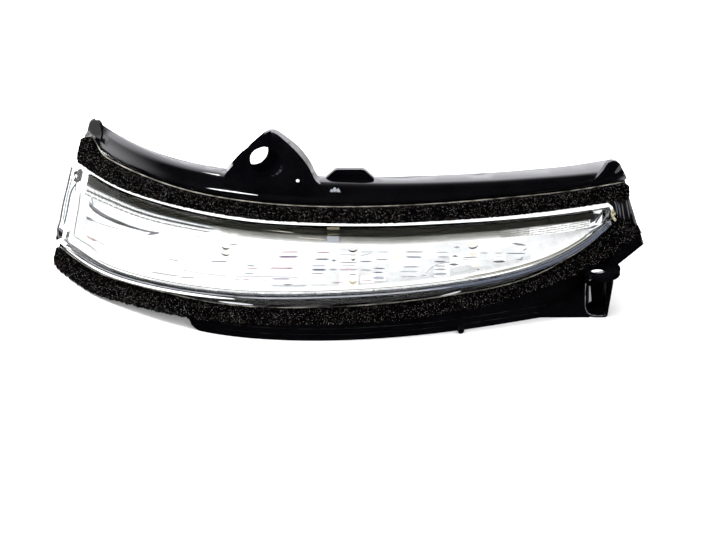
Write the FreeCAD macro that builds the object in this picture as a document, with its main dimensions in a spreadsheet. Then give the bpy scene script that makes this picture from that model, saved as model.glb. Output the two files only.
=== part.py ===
import FreeCAD, Part
import math, os
from FreeCAD import Vector, Placement, Rotation

# Mirror turn signal lamp.  X runs along the lamp (outboard end at -X), the lens
# looks towards -Y, Z is up.  The lamp stands on the bottom edge of its skirt.
#
# Every long piece follows one plan curve y = plan(t).  A cross-section at t is drawn
# in the vertical plane square to that curve: n is the depth behind the lens face,
# measured square to the curve, and the whole section leans back with height.

doc = FreeCAD.newDocument("TurnSignalLamp")
sheet = doc.addObject("Spreadsheet::Sheet", "Dimensions")
_row = [0]


def cell(alias, value, note=""):
    _row[0] += 1
    r = _row[0]
    sheet.set("A%d" % r, alias)
    sheet.set("B%d" % r, repr(float(value)))
    sheet.setAlias("B%d" % r, alias)
    if note:
        sheet.set("C%d" % r, note)


# ---------------------------------------------------------------- driving sizes
cell("origin_x", 4.955, "shift that puts the origin under the middle of the lamp")
cell("origin_y", -36.912)
cell("face_depth", 5.5, "front face of the frame and lens flange, behind the lens face")
cell("flange_thick", 1.5, "lens flange")
cell("frame_back", 8.8, "back of the frame's front wall")
cell("box_back", 20.5, "rear face of the lamp box")
cell("box_wall", 2.0)
cell("lens_wall", 2.0)
cell("top_wall", 1.8)
cell("skirt_wall", 1.8)
cell("skirt_back", 13.0)
cell("foam_front", 3.0)
cell("tape_front", 4.9)
cell("board_bottom", 31.6)
cell("board_thick", 1.6)
cell("board_front", 8.6)
cell("board_rear", 17.4)
cell("reflector_wall", 1.0)
cell("trim_wall", 1.2)
cell("ear_hole_radius", 4.0)
cell("ear_pad_radius", 7.0)
cell("ear_yaw", 26.0)
cell("ear_thick", 4.2)
cell("lug_hole_radius", 2.8)
cell("lug_radius", 5.8)
cell("lug_thick", 1.8)
cell("lug_top", 15.6)
cell("channel_outer", 4.4)
cell("channel_inner", 3.5)
cell("socket_width", 17.0)
cell("socket_height", 13.0)
cell("socket_length", 17.0)
cell("socket_wall", 1.5)
cell("pin_size", 0.8)
cell("pin_pitch", 3.5)
cell("led_length", 3.5)
cell("led_width", 2.8)
cell("led_height", 0.85)
cell("led_cup_radius", 1.05)
cell("led_cup_depth", 0.35)
cell("chip_length", 5.0)
cell("chip_width", 4.0)
cell("chip_height", 1.5)
cell("resistor_length", 3.2)
cell("resistor_width", 1.6)
cell("resistor_height", 0.6)
cell("diode_length", 4.3)
cell("diode_width", 2.6)
cell("diode_height", 2.0)
cell("capacitor_length", 3.2)
cell("capacitor_width", 2.5)
cell("capacitor_height", 2.2)
cell("stake_radius", 0.9)
cell("stake_post_radius", 2.2)
cell("vent_hole_radius", 1.5)
cell("vent_boss_radius", 5.5)
cell("vent_disc_radius", 4.2)
cell("vent_disc_thick", 0.5)
cell("peg_radius", 1.0)
cell("rib_thick", 1.8)

# plan curve of the lens face at the floor: knots along X and their depth
PLAN_T = [-110, -98, -88, -76, -64, -51, -38, -25, -12, 0, 13, 25, 38, 51, 64, 77, 90, 104]
PLAN_Y = [66, 47, 33.5, 21.5, 12.4, 5.8, 2.1, 0.4, 0.0, 0.7, 2.4, 4.8, 8.1, 12.2, 16.6, 21.6, 27.2, 33.8]
for i, (a, b) in enumerate(zip(PLAN_T, PLAN_Y)):
    cell("plan_t_%02d" % i, a)
    cell("plan_y_%02d" % i, b)

# stations: lean in degrees, top of frame, back of top wall, top of lens flange,
# top of lens, top of reflector mouth, bottom of lens, top and bottom of lower foam
STATION = [
    (-105, 16.7, 46.6, 7.8, 40.0, 35.4, 27.6, 9.0, 3.9, 0.9),
    (-96, 16.4, 47.2, 7.9, 40.6, 36.2, 28.6, 9.2, 4.5, 0.5),
    (-88, 16.3, 47.7, 8.3, 41.3, 36.6, 30.0, 9.5, 5.7, 0.9),
    (-78, 16.1, 48.1, 9.0, 41.9, 37.2, 31.2, 10.6, 7.5, 2.5),
    (-66, 15.9, 48.6, 10.0, 42.4, 37.9, 31.9, 12.3, 9.2, 3.8),
    (-50, 15.5, 49.2, 10.6, 42.8, 38.4, 32.5, 13.8, 9.9, 5.1),
    (-32, 14.8, 49.3, 10.8, 42.7, 38.3, 32.4, 14.6, 10.3, 5.8),
    (-12, 14.0, 49.1, 10.9, 42.4, 38.1, 32.1, 15.4, 10.8, 6.3),
    (10, 13.0, 48.2, 11.6, 42.1, 37.5, 31.3, 15.8, 11.3, 6.6),
    (32, 11.9, 47.1, 12.2, 41.6, 36.8, 30.4, 16.2, 12.0, 7.6),
    (52, 10.9, 45.7, 12.6, 40.9, 35.9, 29.3, 17.4, 13.3, 9.6),
    (61, 10.5, 45.1, 12.9, 40.5, 35.6, 28.8, 19.0, 15.3, 11.3),
    (69, 10.2, 44.5, 13.1, 40.2, 35.4, 28.6, 21.5, 18.3, 12.9),
    (77, 9.9, 43.9, 13.6, 40.0, 35.2, 28.8, 25.6, 22.0, 15.0),
    (85, 9.6, 43.4, 14.3, 39.9, 35.0, 29.4, 31.3, 28.4, 18.6),
    (96, 9.2, 42.9, 15.0, 39.7, 34.7, 30.0, 38.0, 34.0, 25.0),
]
COL = ["t", "lean", "top", "depth", "flange", "lens_top", "mouth", "lens_low", "foam_high", "foam_low"]
for i, r in enumerate(STATION):
    for name, v in zip(COL, r):
        cell("sta_%s_%02d" % (name, i), v)
doc.recompute()


def D(alias):
    return float(sheet.get(alias))


class Spline:
    """Natural cubic spline through (x, y)."""

    def __init__(self, x, y):
        self.x, self.y = list(x), list(y)
        k = len(x)
        h = [x[i + 1] - x[i] for i in range(k - 1)]
        a = [0.0] * k
        b = [1.0] * k
        c = [0.0] * k
        d = [0.0] * k
        for i in range(1, k - 1):
            a[i], b[i], c[i] = h[i - 1], 2 * (h[i - 1] + h[i]), h[i]
            d[i] = 6 * ((y[i + 1] - y[i]) / h[i] - (y[i] - y[i - 1]) / h[i - 1])
        for i in range(1, k):
            w = a[i] / b[i - 1]
            b[i] -= w * c[i - 1]
            d[i] -= w * d[i - 1]
        m = [0.0] * k
        m[-1] = d[-1] / b[-1]
        for i in range(k - 2, -1, -1):
            m[i] = (d[i] - c[i] * m[i + 1]) / b[i]
        self.m, self.h = m, h

    def _seg(self, x):
        i = 0
        while i < len(self.h) - 1 and x > self.x[i + 1]:
            i += 1
        return i

    def __call__(self, x):
        i = self._seg(x)
        h, m = self.h[i], self.m
        u, v = self.x[i + 1] - x, x - self.x[i]
        return (m[i] * u ** 3 + m[i + 1] * v ** 3) / (6 * h) + (self.y[i] / h - m[i] * h / 6) * u + (
            self.y[i + 1] / h - m[i + 1] * h / 6) * v

    def slope(self, x):
        i = self._seg(x)
        h, m = self.h[i], self.m
        u, v = self.x[i + 1] - x, x - self.x[i]
        return (-m[i] * u * u + m[i + 1] * v * v) / (2 * h) - (self.y[i] / h - m[i] * h / 6) + (
            self.y[i + 1] / h - m[i + 1] * h / 6)


plan = Spline([D("plan_t_%02d" % i) for i in range(len(PLAN_T))],
              [D("plan_y_%02d" % i) for i in range(len(PLAN_T))])
ts = [D("sta_t_%02d" % i) for i in range(len(STATION))]
col = {n: Spline(ts, [D("sta_%s_%02d" % (n, i)) for i in range(len(STATION))]) for n in COL[1:]}
ORG = Vector(D("origin_x"), D("origin_y"), 0)


def frame_at(t):
    """Foot point, inward normal and tangent of the plan curve at t."""
    s = plan.slope(t)
    q = math.sqrt(1 + s * s)
    return Vector(t, plan(t), 0) + ORG, Vector(-s / q, 1 / q, 0), Vector(1 / q, s / q, 0)


def pt(t, n, z):
    p, nn, _ = frame_at(t)
    return p + nn * (n + z * math.tan(math.radians(col["lean"](t)))) + Vector(0, 0, z)


def stations(t0, t1):
    mid = [t for t in ts if t0 + 2.5 < t < t1 - 2.5]
    return [t0] + mid + [t1]


def loft(section, t0, t1, extra=()):
    """Solid through the closed polygon section(t) at every station from t0 to t1."""
    wires = []
    for t in sorted(stations(t0, t1) + list(extra)):
        p = [pt(t, n, z) for n, z in section(t)]
        wires.append(Part.makePolygon(p + [p[0]]))
    s = Part.makeLoft(wires, True, False)
    if s.Volume < 0:
        s = s.reversed()
    return s


def feature(name, shape):
    o = doc.addObject("Part::Feature", name)
    o.Shape = shape
    return o


def place(obj, base, rot=None):
    obj.Placement = Placement(base, rot or Rotation())
    return obj


def box(name, base, lx, ly, lz, rot=None):
    """Part::Box whose three sizes are cells, expressions or numbers."""
    b = doc.addObject("Part::Box", name)
    for prop, v in (("Length", lx), ("Width", ly), ("Height", lz)):
        if isinstance(v, str):
            b.setExpression(prop, v)
        else:
            setattr(b, prop, v)
    return place(b, base, rot)


def cyl(name, base, radius, height, direction=Vector(0, 0, 1)):
    c = doc.addObject("Part::Cylinder", name)
    for prop, v in (("Radius", radius), ("Height", height)):
        if isinstance(v, str):
            c.setExpression(prop, v)
        else:
            setattr(c, prop, v)
    return place(c, base, Rotation(Vector(0, 0, 1), direction))


def fuse(name, parts):
    f = doc.addObject("Part::MultiFuse", name)
    f.Shapes = parts
    return f


def cut(name, base, tool):
    c = doc.addObject("Part::Cut", name)
    c.Base = base
    c.Tool = tool
    return c


def panel(name, t0, outline, n0, n1):
    """Flat plate on the leaning face at t0: outline of (t, z), from depth n0 to n1."""
    _, nn, tt = frame_at(t0)
    s = plan.slope(t0)
    q = math.sqrt(1 + s * s)
    lean = math.tan(math.radians(col["lean"](t0)))
    o = pt(t0, n0, 0)
    up = nn * lean + Vector(0, 0, 1)
    pts = [o + tt * ((t - t0) * q) + up * z for t, z in outline]
    f = Part.Face(Part.makePolygon(pts + [pts[0]]))
    return feature(name, f.extrude(nn * (n1 - n0)))


def wedge(name, low, high, side, behind=None):
    """Cutter beyond the line from (t, z) low to (t, z) high; side +1 outboard of it to +X.
    With behind given, it ends at that depth on the leaning section."""
    far = side * 60
    out = []
    for t, z in (low, high):
        p, nn, tt = frame_at(t)
        a = p + nn * -30 + Vector(0, 0, z)
        far_n = 90 if behind is None else behind + z * math.tan(math.radians(col["lean"](t)))
        b = p + nn * far_n + Vector(0, 0, z)
        out.append(Part.makePolygon([a, b, b + tt * far, a + tt * far, a]))
    s = Part.makeLoft(out, True, True)
    if s.Volume < 0:
        s = s.reversed()
    return feature(name, s)


def rib(name, t, outline, thick="rib_thick"):
    """Flat rib square to the plan curve: outline of (n, z)."""
    _, _, tt = frame_at(t)
    w = D(thick)
    pts = [pt(t, n, z) for n, z in outline]
    f = Part.Face(Part.makePolygon(pts + [pts[0]]))
    f.translate(tt * (-w / 2))
    return feature(name, f.extrude(tt * w))


def rounded_outline(points, count):
    """Points of a smooth curve through the given (t, z) points."""
    d = [0.0]
    for a, b in zip(points, points[1:]):
        d.append(d[-1] + math.hypot(b[0] - a[0], b[1] - a[1]))
    sx, sy = Spline(d, [q[0] for q in points]), Spline(d, [q[1] for q in points])
    return [(sx(d[-1] * i / (count - 1)), sy(d[-1] * i / (count - 1))) for i in range(count)]


FACE, FL, FB = D("face_depth"), D("flange_thick"), D("frame_back")
BB, BW, LW = D("box_back"), D("box_wall"), D("lens_wall")
GAP = 0.15
SEAT = FACE + FL + GAP          # floor of the recess that the lens flange lies in
FOAM_F = D("foam_front")
LENS0, LENS1 = -102.2, 84.0     # ends of the lens

# ---------------------------------------------------------------- housing


def frame_section(t):
    top, f1, low = col["top"](t), col["flange"](t), col["foam_low"](t)
    w, sw = D("top_wall"), D("skirt_wall")
    low = max(low, 4.2) if t > -58 else 4.2
    edge = [(FACE + 0.6 + 1.5 * (1 - math.cos(math.radians(a))), top - 1.5 * (1 - math.sin(math.radians(a))))
            for a in (0, 22.5, 45, 67.5, 90)]
    return edge + [
        (col["depth"](t), top), (col["depth"](t), top - w), (FB, top - w),
        (FB, sw), (D("skirt_back"), sw), (D("skirt_back"), 0), (FACE, 0),
        (FACE, 1.6), (FACE + 0.5, 1.8), (FACE + 0.5, 3.3), (FACE + 1.0, 3.5),
        (FACE + 1.0, low - 0.4), (SEAT, low - 0.3), (SEAT, f1 + 0.45), (FACE, f1 + 0.45),
        (FACE, f1 + 1.5), (FACE + 0.6, f1 + 2.2),
    ]


frame = feature("FrameRail", loft(frame_section, -105, 96))
left_pad = feature("LeftSeat", loft(lambda t: [
    (FACE, col["foam_low"](t)), (FACE, 4.55), (FB - 0.4, 4.55), (FB - 0.4, col["foam_low"](t))], -105, -62))
lamp_box = feature("LampBox", loft(lambda t: [
    (FB - 0.8, col["lens_top"](t) + 1.2), (BB, col["lens_top"](t) + 1.2),
    (BB, col["lens_low"](t) - 1.0), (FB - 0.8, col["lens_low"](t) - 1.0)], -101.8, 85.0))
cavity = feature("LampCavity", loft(lambda t: [
    (FACE - 4, col["lens_top"](t) - 1.0), (BB - BW, col["lens_top"](t) - 1.0),
    (BB - BW, col["lens_low"](t) + 1.2), (FACE - 4, col["lens_low"](t) + 1.2)], -100.0, 80.5))

# right end lobe and left end lobe of the front wall
lobe_right = panel("LobeRight", 84, [(78.6, 41.6), (80.0, 42.8), (80.8, 43.4), (82.2, 44.7), (83.2, 46.1), (84.0, 46.8),
                                     (85.4, 47.1), (86.7, 46.7), (87.7, 45.6), (88.3, 43.9), (88.6, 41.7),
                                     (88.9, 40.6)], FACE + 0.2, FACE + 1.5)
lobe_left = panel("LobeLeft", -102, [(-104.5, 43.3), (-104.5, 44.3), (-104.3, 45.6), (-103.8, 46.9), (-103.0, 47.8),
                                     (-102.1, 48.2), (-101.3, 47.9), (-100.5, 46.9), (-99.9, 45.6), (-99.8, 43.3)],
                  FACE + 0.3, FACE + 1.3)

# ear: the front wall carried upwards, with a shallow facet round the screw hole
EAR = rounded_outline([(-44.3, 49.4), (-43.1, 50.9), (-39.9, 54.7), (-37.2, 57.7), (-34.6, 60.5), (-32.3, 62.7), (-30.9, 63.8),
                       (-29.6, 64.2), (-28.2, 63.8), (-25.5, 61.9), (-22.3, 59.2), (-19.5, 56.2), (-17.1, 52.7),
                       (-16.1, 50.6), (-14.9, 49.2), (-13.2, 48.6)], 34)
EAR = [(-44.6, 45.2)] + EAR + [(-13.0, 45.2)]
ear_wall = feature("EarWall", loft(lambda t: [
    (FACE + 0.45, 44.0), (FACE + 0.45, 66.0), (FACE + 0.5 + D("ear_thick"), 66.0), (FACE + 0.5 + D("ear_thick"), 44.0)],
    -50.0, -12.0, (-40.0, -21.0)))
ear_shape = panel("EarShape", -28, EAR, FACE - 4, FACE + 16)
ear = doc.addObject("Part::Common", "EarPlate")
ear.Base = ear_wall
ear.Tool = ear_shape
yaw = math.radians(D("ear_yaw"))
ear_axis = Vector(-math.sin(yaw), math.cos(yaw), 0)          # into the plate
ear_c = pt(-33.4, FACE + 2.4, 54.9)
ear_round = cyl("EarPadRound", ear_c - ear_axis * 3.0, "Dimensions.ear_pad_radius", 8.0, ear_axis)
ear_behind = panel("EarPadLimit", -28, [(-46.0, 44.0)] + EAR[1:-1] + [(-12.0, 44.0)], FACE + 1.4, FACE + 16)
ear_pad = doc.addObject("Part::Common", "EarPad")
ear_pad.Base = ear_round
ear_pad.Tool = ear_behind
ear_seat = cyl("EarSeat", ear_c - ear_axis * 14, "Dimensions.ear_hole_radius + 0.35", 14.2, ear_axis)
ear_bore = cyl("EarBore", ear_c - ear_axis * 14, "Dimensions.ear_hole_radius", 32, ear_axis)


def local_prism(name, t0, corners, axis, length):
    """Prism on the leaning face at t0: corners (along, depth, height), pulled along one of those directions."""
    _, nn, tt = frame_at(t0)
    up = nn * math.tan(math.radians(col["lean"](t0))) + Vector(0, 0, 1)
    o = pt(t0, 0, 0)
    q = [o + tt * a + nn * n + up * z for a, n, z in corners]
    return feature(name, Part.Face(Part.makePolygon(q + [q[0]])).extrude({"along": tt, "up": up}[axis] * length))


ear_facet = local_prism("EarFacet", -28, [(-1.7, FACE + 1.35, 50.3), (-17.5, FACE + 0.9, 50.3), (-17.5, FACE - 6, 50.3),
                                          (-1.7, FACE - 6, 50.3)], "up", 16)
ear_thin = local_prism("EarThin", -28, [(-20, FACE + 2.4, 65.5), (-20, FACE + 5.2, 56.5), (-20, FACE + 14, 56.5),
                                        (-20, FACE + 14, 67.0), (-20, FACE + 2.4, 67.0)], "along", 40)

# small locating tab on the back edge of the top wall
tab = feature("TopTab", Part.Face(Part.makePolygon([
    pt(-2, 9.7, 48.0) + Vector(dx, 0, dz) for dx, dz in
    ((-7.1, -1.0), (-6.9, 1.0), (-4.4, 3.5), (-3.9, 3.9), (-3.2, 4.1), (4.4, 4.1), (5.1, 3.9), (5.6, 3.5), (8.1, 1.0), (8.3, -1.0),
     (-7.1, -1.0))])).extrude(Vector(0, 1.4, 0)))

# screw channel open to the front, lug and web at the lower right
LUG = Vector(75.6, 24.0, 0) + ORG
LUGZ = D("lug_top") - D("lug_thick")
CH = Vector(75.8, 24.3, 0) + ORG          # centre of the channel's round back
CH_FRONT = 20.16 + ORG.y


def channel(name, radius, outline, half):
    """Upright U-shaped column: round back, straight sides, with the front view given by outline."""
    back = cyl(name + "Back", CH, radius, "Dimensions.lug_top")
    side = box(name + "Side", Vector(CH.x - half, CH_FRONT - 3, 0), 2 * half, CH.y - CH_FRONT + 3, "Dimensions.lug_top")
    u = fuse(name + "Plan", [back, side])
    view = feature(name + "View", Part.Face(Part.makePolygon([
        Vector(x + ORG.x, CH_FRONT, z) for x, z in outline + [outline[0]]])).extrude(Vector(0, 14, 0)))
    c = doc.addObject("Part::Common", name)
    c.Base = u
    c.Tool = view
    return c


boss = channel("ScrewChannel", "Dimensions.channel_outer", [
    (71.0, LUGZ + 0.6), (71.3, 3.4), (71.5, 2.4), (71.9, 1.6), (72.6, 0.9), (73.5, 0.4), (74.6, 0.1), (75.6, 0.0), (77.8, 0.0),
    (78.5, 0.2), (78.9, 0.8), (80.4, LUGZ + 0.6)], D("channel_outer"))
boss_bore = channel("ChannelVoid", "Dimensions.channel_inner", [
    (72.2, LUGZ), (72.3, 3.9), (72.5, 3.0), (72.9, 2.3), (73.5, 1.7), (74.3, 1.35), (75.4, 1.2), (77.6, 1.2), (78.0, 1.6),
    (79.4, LUGZ)], D("channel_inner"))
boss_slot = box("ChannelMouth", Vector(CH.x - 6, CH_FRONT - 6, -1), 12, 6.0, LUGZ + 1)
lug = cyl("ScrewLug", LUG + Vector(1.3, 0.6, LUGZ), "Dimensions.lug_radius", "Dimensions.lug_thick")
lug_neck = box("LugNeck", LUG + Vector(-3.5, 1.0, LUGZ), 9.4, 6.5, "Dimensions.lug_thick")
# opening in the channel's floor, through which the screw and its driver come up
floor_way = box("ChannelFloorWay", LUG + Vector(-2.6, -2.6, -1), 5.2, 5.2, 5.6)
# opening through the wall under the lug, left by the mould half that forms the lug's underside
lug_window = box("LugWindow", LUG + Vector(-2.4, 2.0, LUGZ - 4.0), 4.8, 8.6, 4.0)
lug_bore = cyl("LugBore", LUG + Vector(0, 0, LUGZ - 0.02), "Dimensions.lug_hole_radius", 10)
web = feature("BossWeb", Part.Face(Part.makePolygon([
    Vector(57.0, 20.16, 0) + ORG + Vector(dx, 0, dz) for dx, dz in
    ((0, 0), (0, 2.3), (14.4, 9.0), (16.0, 9.0), (16.0, 0), (0, 0))])).extrude(Vector(0, 6.0, 0)))

# peg under the skirt's front edge
peg = cyl("SkirtPeg", pt(33.1, FACE + 3.0, 1.3), "Dimensions.peg_radius", 5.6, Vector(0.18, -1, -0.04))

# ribs behind the front wall and feet under the box
ribs = []
for k, t in enumerate((-84, -58, 14, 44, 70)):
    z0, z1 = col["lens_top"](t) + 0.8, col["top"](t) - 1.0
    ribs.append(rib("UpperRib%d" % k, t, [(FB - 1, z0), (BB - 3, z0), (max(col["depth"](t) - 1, FB - 0.5), z1), (FB - 1, z1)]))
for k, t in enumerate((-46, -8, 30, 58)):
    z0 = col["lens_low"](t) - 0.6
    ribs.append(rib("FootRib%d" % k, t, [(FB - 1, 0.0), (27.5, 0.0), (27.5, 2.0), (BB - 1, z0), (FB - 1, z0)]))

# connector socket on the rear wall, open to the back
SX, SZ = 29.0, 27.6
sock_c = Vector(SX, 30.6, SZ) + ORG
socket = box("SocketBody", sock_c + Vector(-D("socket_width") / 2, 0, -D("socket_height") / 2),
             "Dimensions.socket_width", "Dimensions.socket_length", "Dimensions.socket_height")
socket_hole = box("SocketHole", sock_c + Vector(-D("socket_width") / 2 + D("socket_wall"), 4.6,
                                                -D("socket_height") / 2 + D("socket_wall")),
                  "Dimensions.socket_width - 2 * Dimensions.socket_wall", "Dimensions.socket_length",
                  "Dimensions.socket_height - 2 * Dimensions.socket_wall")
latch = box("SocketLatch", sock_c + Vector(-2.5, 9.0, D("socket_height") / 2 - 0.3), 5.0, 3.0, 1.7)

# vent boss on the rear wall
_, vn, vt = frame_at(-30)
vent_c = pt(-30, BB, 25.0)
vent_boss = cyl("VentBoss", vent_c - vn * 1.0, "Dimensions.vent_boss_radius", 2.6, vn)
vent_recess = cyl("VentRecess", vent_c + vn * (1.6 - D("vent_disc_thick")), "Dimensions.vent_disc_radius + 0.15", 3, vn)
vent_hole = cyl("VentHole", vent_c - vn * 6, "Dimensions.vent_hole_radius", 12, vn)

# posts that hold the board, hanging from the top of the cavity
STAKES = (-72.0, -12.0, 42.0)
posts, stakes = [], []
for k, t in enumerate(STAKES):
    b = pt(t, 12.8, D("board_bottom") + D("board_thick"))
    b.z = D("board_bottom") + D("board_thick")
    h = col["lens_top"](t) - 0.4 - b.z
    posts.append(cyl("BoardPost%d" % k, b, "Dimensions.stake_post_radius", h))
    stakes.append(cyl("BoardStake%d" % k, b - Vector(0, 0, D("board_thick") + 0.45), "Dimensions.stake_radius",
                      D("board_thick") + 1.5))

# grooves for the sealing bead behind the lens flange


def bead_section(zc, w, n0, n1):
    return lambda t: [(n0, zc(t) + w / 2), (n1, zc(t) + w / 2), (n1, zc(t) - w / 2), (n0, zc(t) - w / 2)]


def z_up(t):
    return col["lens_top"](t) + 2.2


def z_lo(t):
    return 0.5 * (col["lens_low"](t) + max(col["foam_low"](t), 0.9) + 0.9)


groove_up = feature("GrooveUpper", loft(bead_section(z_up, 1.5, SEAT - 0.6, SEAT + 0.85), -98.5, 81.5))
groove_lo = feature("GrooveLower", loft(bead_section(z_lo, 1.5, SEAT - 0.6, SEAT + 0.85), -98.5, 81.5))

# the lug and web stay clear of the lower foam strip
foam_room = feature("FoamRoom", loft(lambda t: [
    (FOAM_F - 0.3, col["foam_low"](t) - 0.25), (FACE - 0.05, col["foam_low"](t) - 0.25),
    (FACE - 0.05, col["foam_high"](t) + 2), (FOAM_F - 0.3, col["foam_high"](t) + 2)], 58, 95))

# trimming at the ends: the skirt stops short on the left, the right end is slanted
under = feature("CutUnderLeft", loft(lambda t: [
    (-20, -8), (60, -8), (60, col["foam_low"](t) + 0.45), (-20, col["foam_low"](t) + 0.45)], -112, -58.4))
toe = panel("CutSkirtToe", -56, [(-59.2, -6), (-59.2, 4.9), (-58.4, 4.9), (-57.9, 3.7), (-57.3, 2.8), (-56.6, 2.0), (-55.8, 1.3),
                                 (-55.0, 0.75), (-54.1, 0.3), (-53.2, 0.02), (-52.6, -6)], -20, 60)
left_notch = feature("CutLeftNotch", loft(lambda t: [(-20, 8.2), (60, 8.2), (60, 35.8), (-20, 35.8)], -112, -102.0))
right_a = wedge("CutRightUpper", (91.2, 32.8), (87.4, 52.0), 1)
right_b = wedge("CutRightLower", (95.4, 16.0), (91.2, 32.9), 1)
right_d = feature("CutRightBelow", loft(lambda t: [
    (-30, -8), (90, -8), (90, 9.6 + 0.565 * (t - 82.0)), (-30, 9.6 + 0.565 * (t - 82.0))], 81.6, 108))

body1 = fuse("HousingShell", [frame, left_pad, lamp_box, lobe_right, lobe_left, ear, ear_pad, tab, boss, lug, lug_neck, web, peg,
                              socket, latch, vent_boss] + ribs)
body2 = body1
for tool in (foam_room, cavity, left_notch, under, toe, right_a, right_b, right_d, ear_facet, ear_thin, ear_seat, ear_bore,
             boss_bore, boss_slot, floor_way, lug_window,
             lug_bore, socket_hole, vent_recess, vent_hole, groove_up, groove_lo):
    body2 = cut("HousingLess" + tool.Name, body2, tool)
body3 = fuse("HousingPosts", [body2] + posts + stakes)

# ---------------------------------------------------------------- terminals
terms = []
slots = []
ps, pp = D("pin_size"), D("pin_pitch")
for k in range(3):
    x = SX + (k - 1) * pp
    c = Vector(x, 0, 0) + ORG
    body = doc.addObject("PartDesign::Body", "Terminal%d" % (k + 1))
    body.Label = "terminal_%d" % (k + 1)
    sk = body.newObject("Sketcher::SketchObject", "TerminalSketch%d" % (k + 1))
    plane = [f for f in body.Origin.OriginFeatures if f.Role == "YZ_Plane"][0]
    sk.AttachmentSupport = [(plane, "")]
    sk.MapMode = "FlatFace"
    y0, y1 = 28.3 + D("origin_y"), 44.2 + D("origin_y")
    zt_, zb_ = D("board_bottom") + D("board_thick") + 0.5, SZ - ps / 2
    prof = [(y0, zt_), (y0, zb_), (y1, zb_), (y1, zb_ + ps), (y0 + ps, zb_ + ps), (y0 + ps, zt_)]
    for i in range(6):
        a, b2 = prof[i], prof[(i + 1) % 6]
        sk.addGeometry(Part.LineSegment(Vector(a[0], a[1], 0), Vector(b2[0], b2[1], 0)), False)
    pad = body.newObject("PartDesign::Pad", "TerminalPad%d" % (k + 1))
    pad.Profile = sk
    pad.Midplane = True
    pad.setExpression("Length", "Dimensions.pin_size")
    body.Placement = Placement(Vector(x + D("origin_x"), 0, 0), Rotation())
    terms.append(body)
    slots.append(box("TerminalSlot%d" % (k + 1), Vector(x + D("origin_x") - ps / 2 - 0.02, 29.0 + D("origin_y"),
                                                        SZ - ps / 2 - 0.02), ps + 0.04, 8.0, ps + 0.04))
slot_set = fuse("TerminalSlots", slots)
housing = cut("Housing", body3, slot_set)
housing.Label = "housing"

# ---------------------------------------------------------------- lens


def lens_section(t):
    zt, zb = col["lens_top"](t), col["lens_low"](t)
    ft, fb = col["flange"](t) + 0.3, max(col["foam_low"](t) + 0.9, 4.8)
    r = min(0.9, 0.2 * (zt - zb))
    return [(FACE + FL, fb), (FACE + FL, ft), (FACE, ft), (FACE, zt), (r, zt), (0.27 * r, zt - 0.27 * r), (0, zt - r),
            (0, zb + r), (0.27 * r, zb + 0.27 * r), (r, zb), (FACE, zb), (FACE, fb)]


def flange_section(t):
    ft, fb = col["flange"](t) + 0.3, max(col["foam_low"](t) + 0.9, 4.8)
    return [(FACE, fb), (FACE + FL, fb), (FACE + FL, ft), (FACE, ft)]


lens_outer = feature("LensOuter", loft(lens_section, LENS0, LENS1))
lens_inner = feature("LensInner", loft(lambda t: [
    (LW, col["lens_top"](t) - LW), (FACE + FL + 1, col["lens_top"](t) - LW),
    (FACE + FL + 1, col["lens_low"](t) + LW), (LW, col["lens_low"](t) + LW)], LENS0 + LW, 78.8))
lens_tip = wedge("LensTipCut", (84.4, 29.5), (81.0, 37.2), 1, FACE - 0.02)
lens_tail = feature("LensFlangeTail", loft(flange_section, LENS1 - 0.5, 92.0))
lens_end = wedge("LensFlangeEnd", (90.8, 24.0), (88.4, 41.0), 1)
lens = cut("OuterLens", cut("LensLessVoid", cut("LensLessEnd", fuse("LensBody", [
    cut("LensLessTip", lens_outer, lens_tip), lens_tail]), lens_end), lens_inner), right_d)
lens.Label = "outer_lens"

bead_up = feature("SealantUpper", loft(bead_section(z_up, 1.2, FACE + FL + 0.08, SEAT + 0.75), -98.0, 81.0))
bead_up.Label = "sealant_upper"
bead_lo = feature("SealantLower", loft(bead_section(z_lo, 1.2, FACE + FL + 0.08, SEAT + 0.75), -98.0, 81.0))
bead_lo.Label = "sealant_lower"

# ---------------------------------------------------------------- foam gaskets and tapes


def foam_face(t):
    """Front of both strips: they thicken towards the outboard end, and slope back at the very end."""
    u = min(max((-58.0 - t) / 40.0, 0.0), 1.0)
    return D("foam_front") - 1.8 * u * u * (3 - 2 * u) + 0.455 * max(0.0, -101.3 - t) ** 1.5


def strip(zlo, zhi, n0, n1):
    face = n0 if callable(n0) else lambda t: n0
    return lambda t: [(face(t), zlo(t)), (face(t), zhi(t)), (n1, zhi(t)), (n1, zlo(t))]


def up_lo(t):
    return col["lens_top"](t) + 0.15


def up_hi(t):
    u = min(max((-96.0 - t) / 7.0, 0.0), 1.0)
    return col["flange"](t) - 0.1 + 3.3 * u * u * (3 - 2 * u) - 0.16 * max(0.0, -100.8 - t) ** 2


def lo_lo(t):
    return col["foam_low"](t)


def lo_hi(t):
    return col["foam_high"](t)


TF = D("tape_front")
ENDS = (-103.5, -102.5, -101.3, -100.0, -98.0)     # extra sections where the strips are shaped at their outboard ends
foam_up = feature("UpperFoam", loft(strip(up_lo, up_hi, foam_face, TF - 0.05), -105.0, 89.0, ENDS))
foam_up.Label = "upper_foam_gasket"
tape_up = feature("UpperTape", loft(strip(lambda t: up_lo(t) + 0.1, lambda t: up_hi(t) + 0.15, TF, FACE - 0.35), -104.8, 88.8, ENDS))
tape_up.Label = "upper_foam_tape"
foam_end = panel("FoamTipCut", 88, [(83.6, 28.3), (87.0, 27.4), (89.6, 26.7), (91.2, 25.6), (92.2, 24.0), (93.0, 21.6), (97.0, 21.0),
                                    (97.0, 45.0), (83.6, 45.0)], FOAM_F - 4, FACE)
foam_lo = cut("LowerGasket", feature("LowerFoam", loft(strip(lo_lo, lo_hi, foam_face, TF - 0.05), -104.4, 92.9, ENDS)), foam_end)
foam_lo.Label = "lower_foam_gasket"
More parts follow.
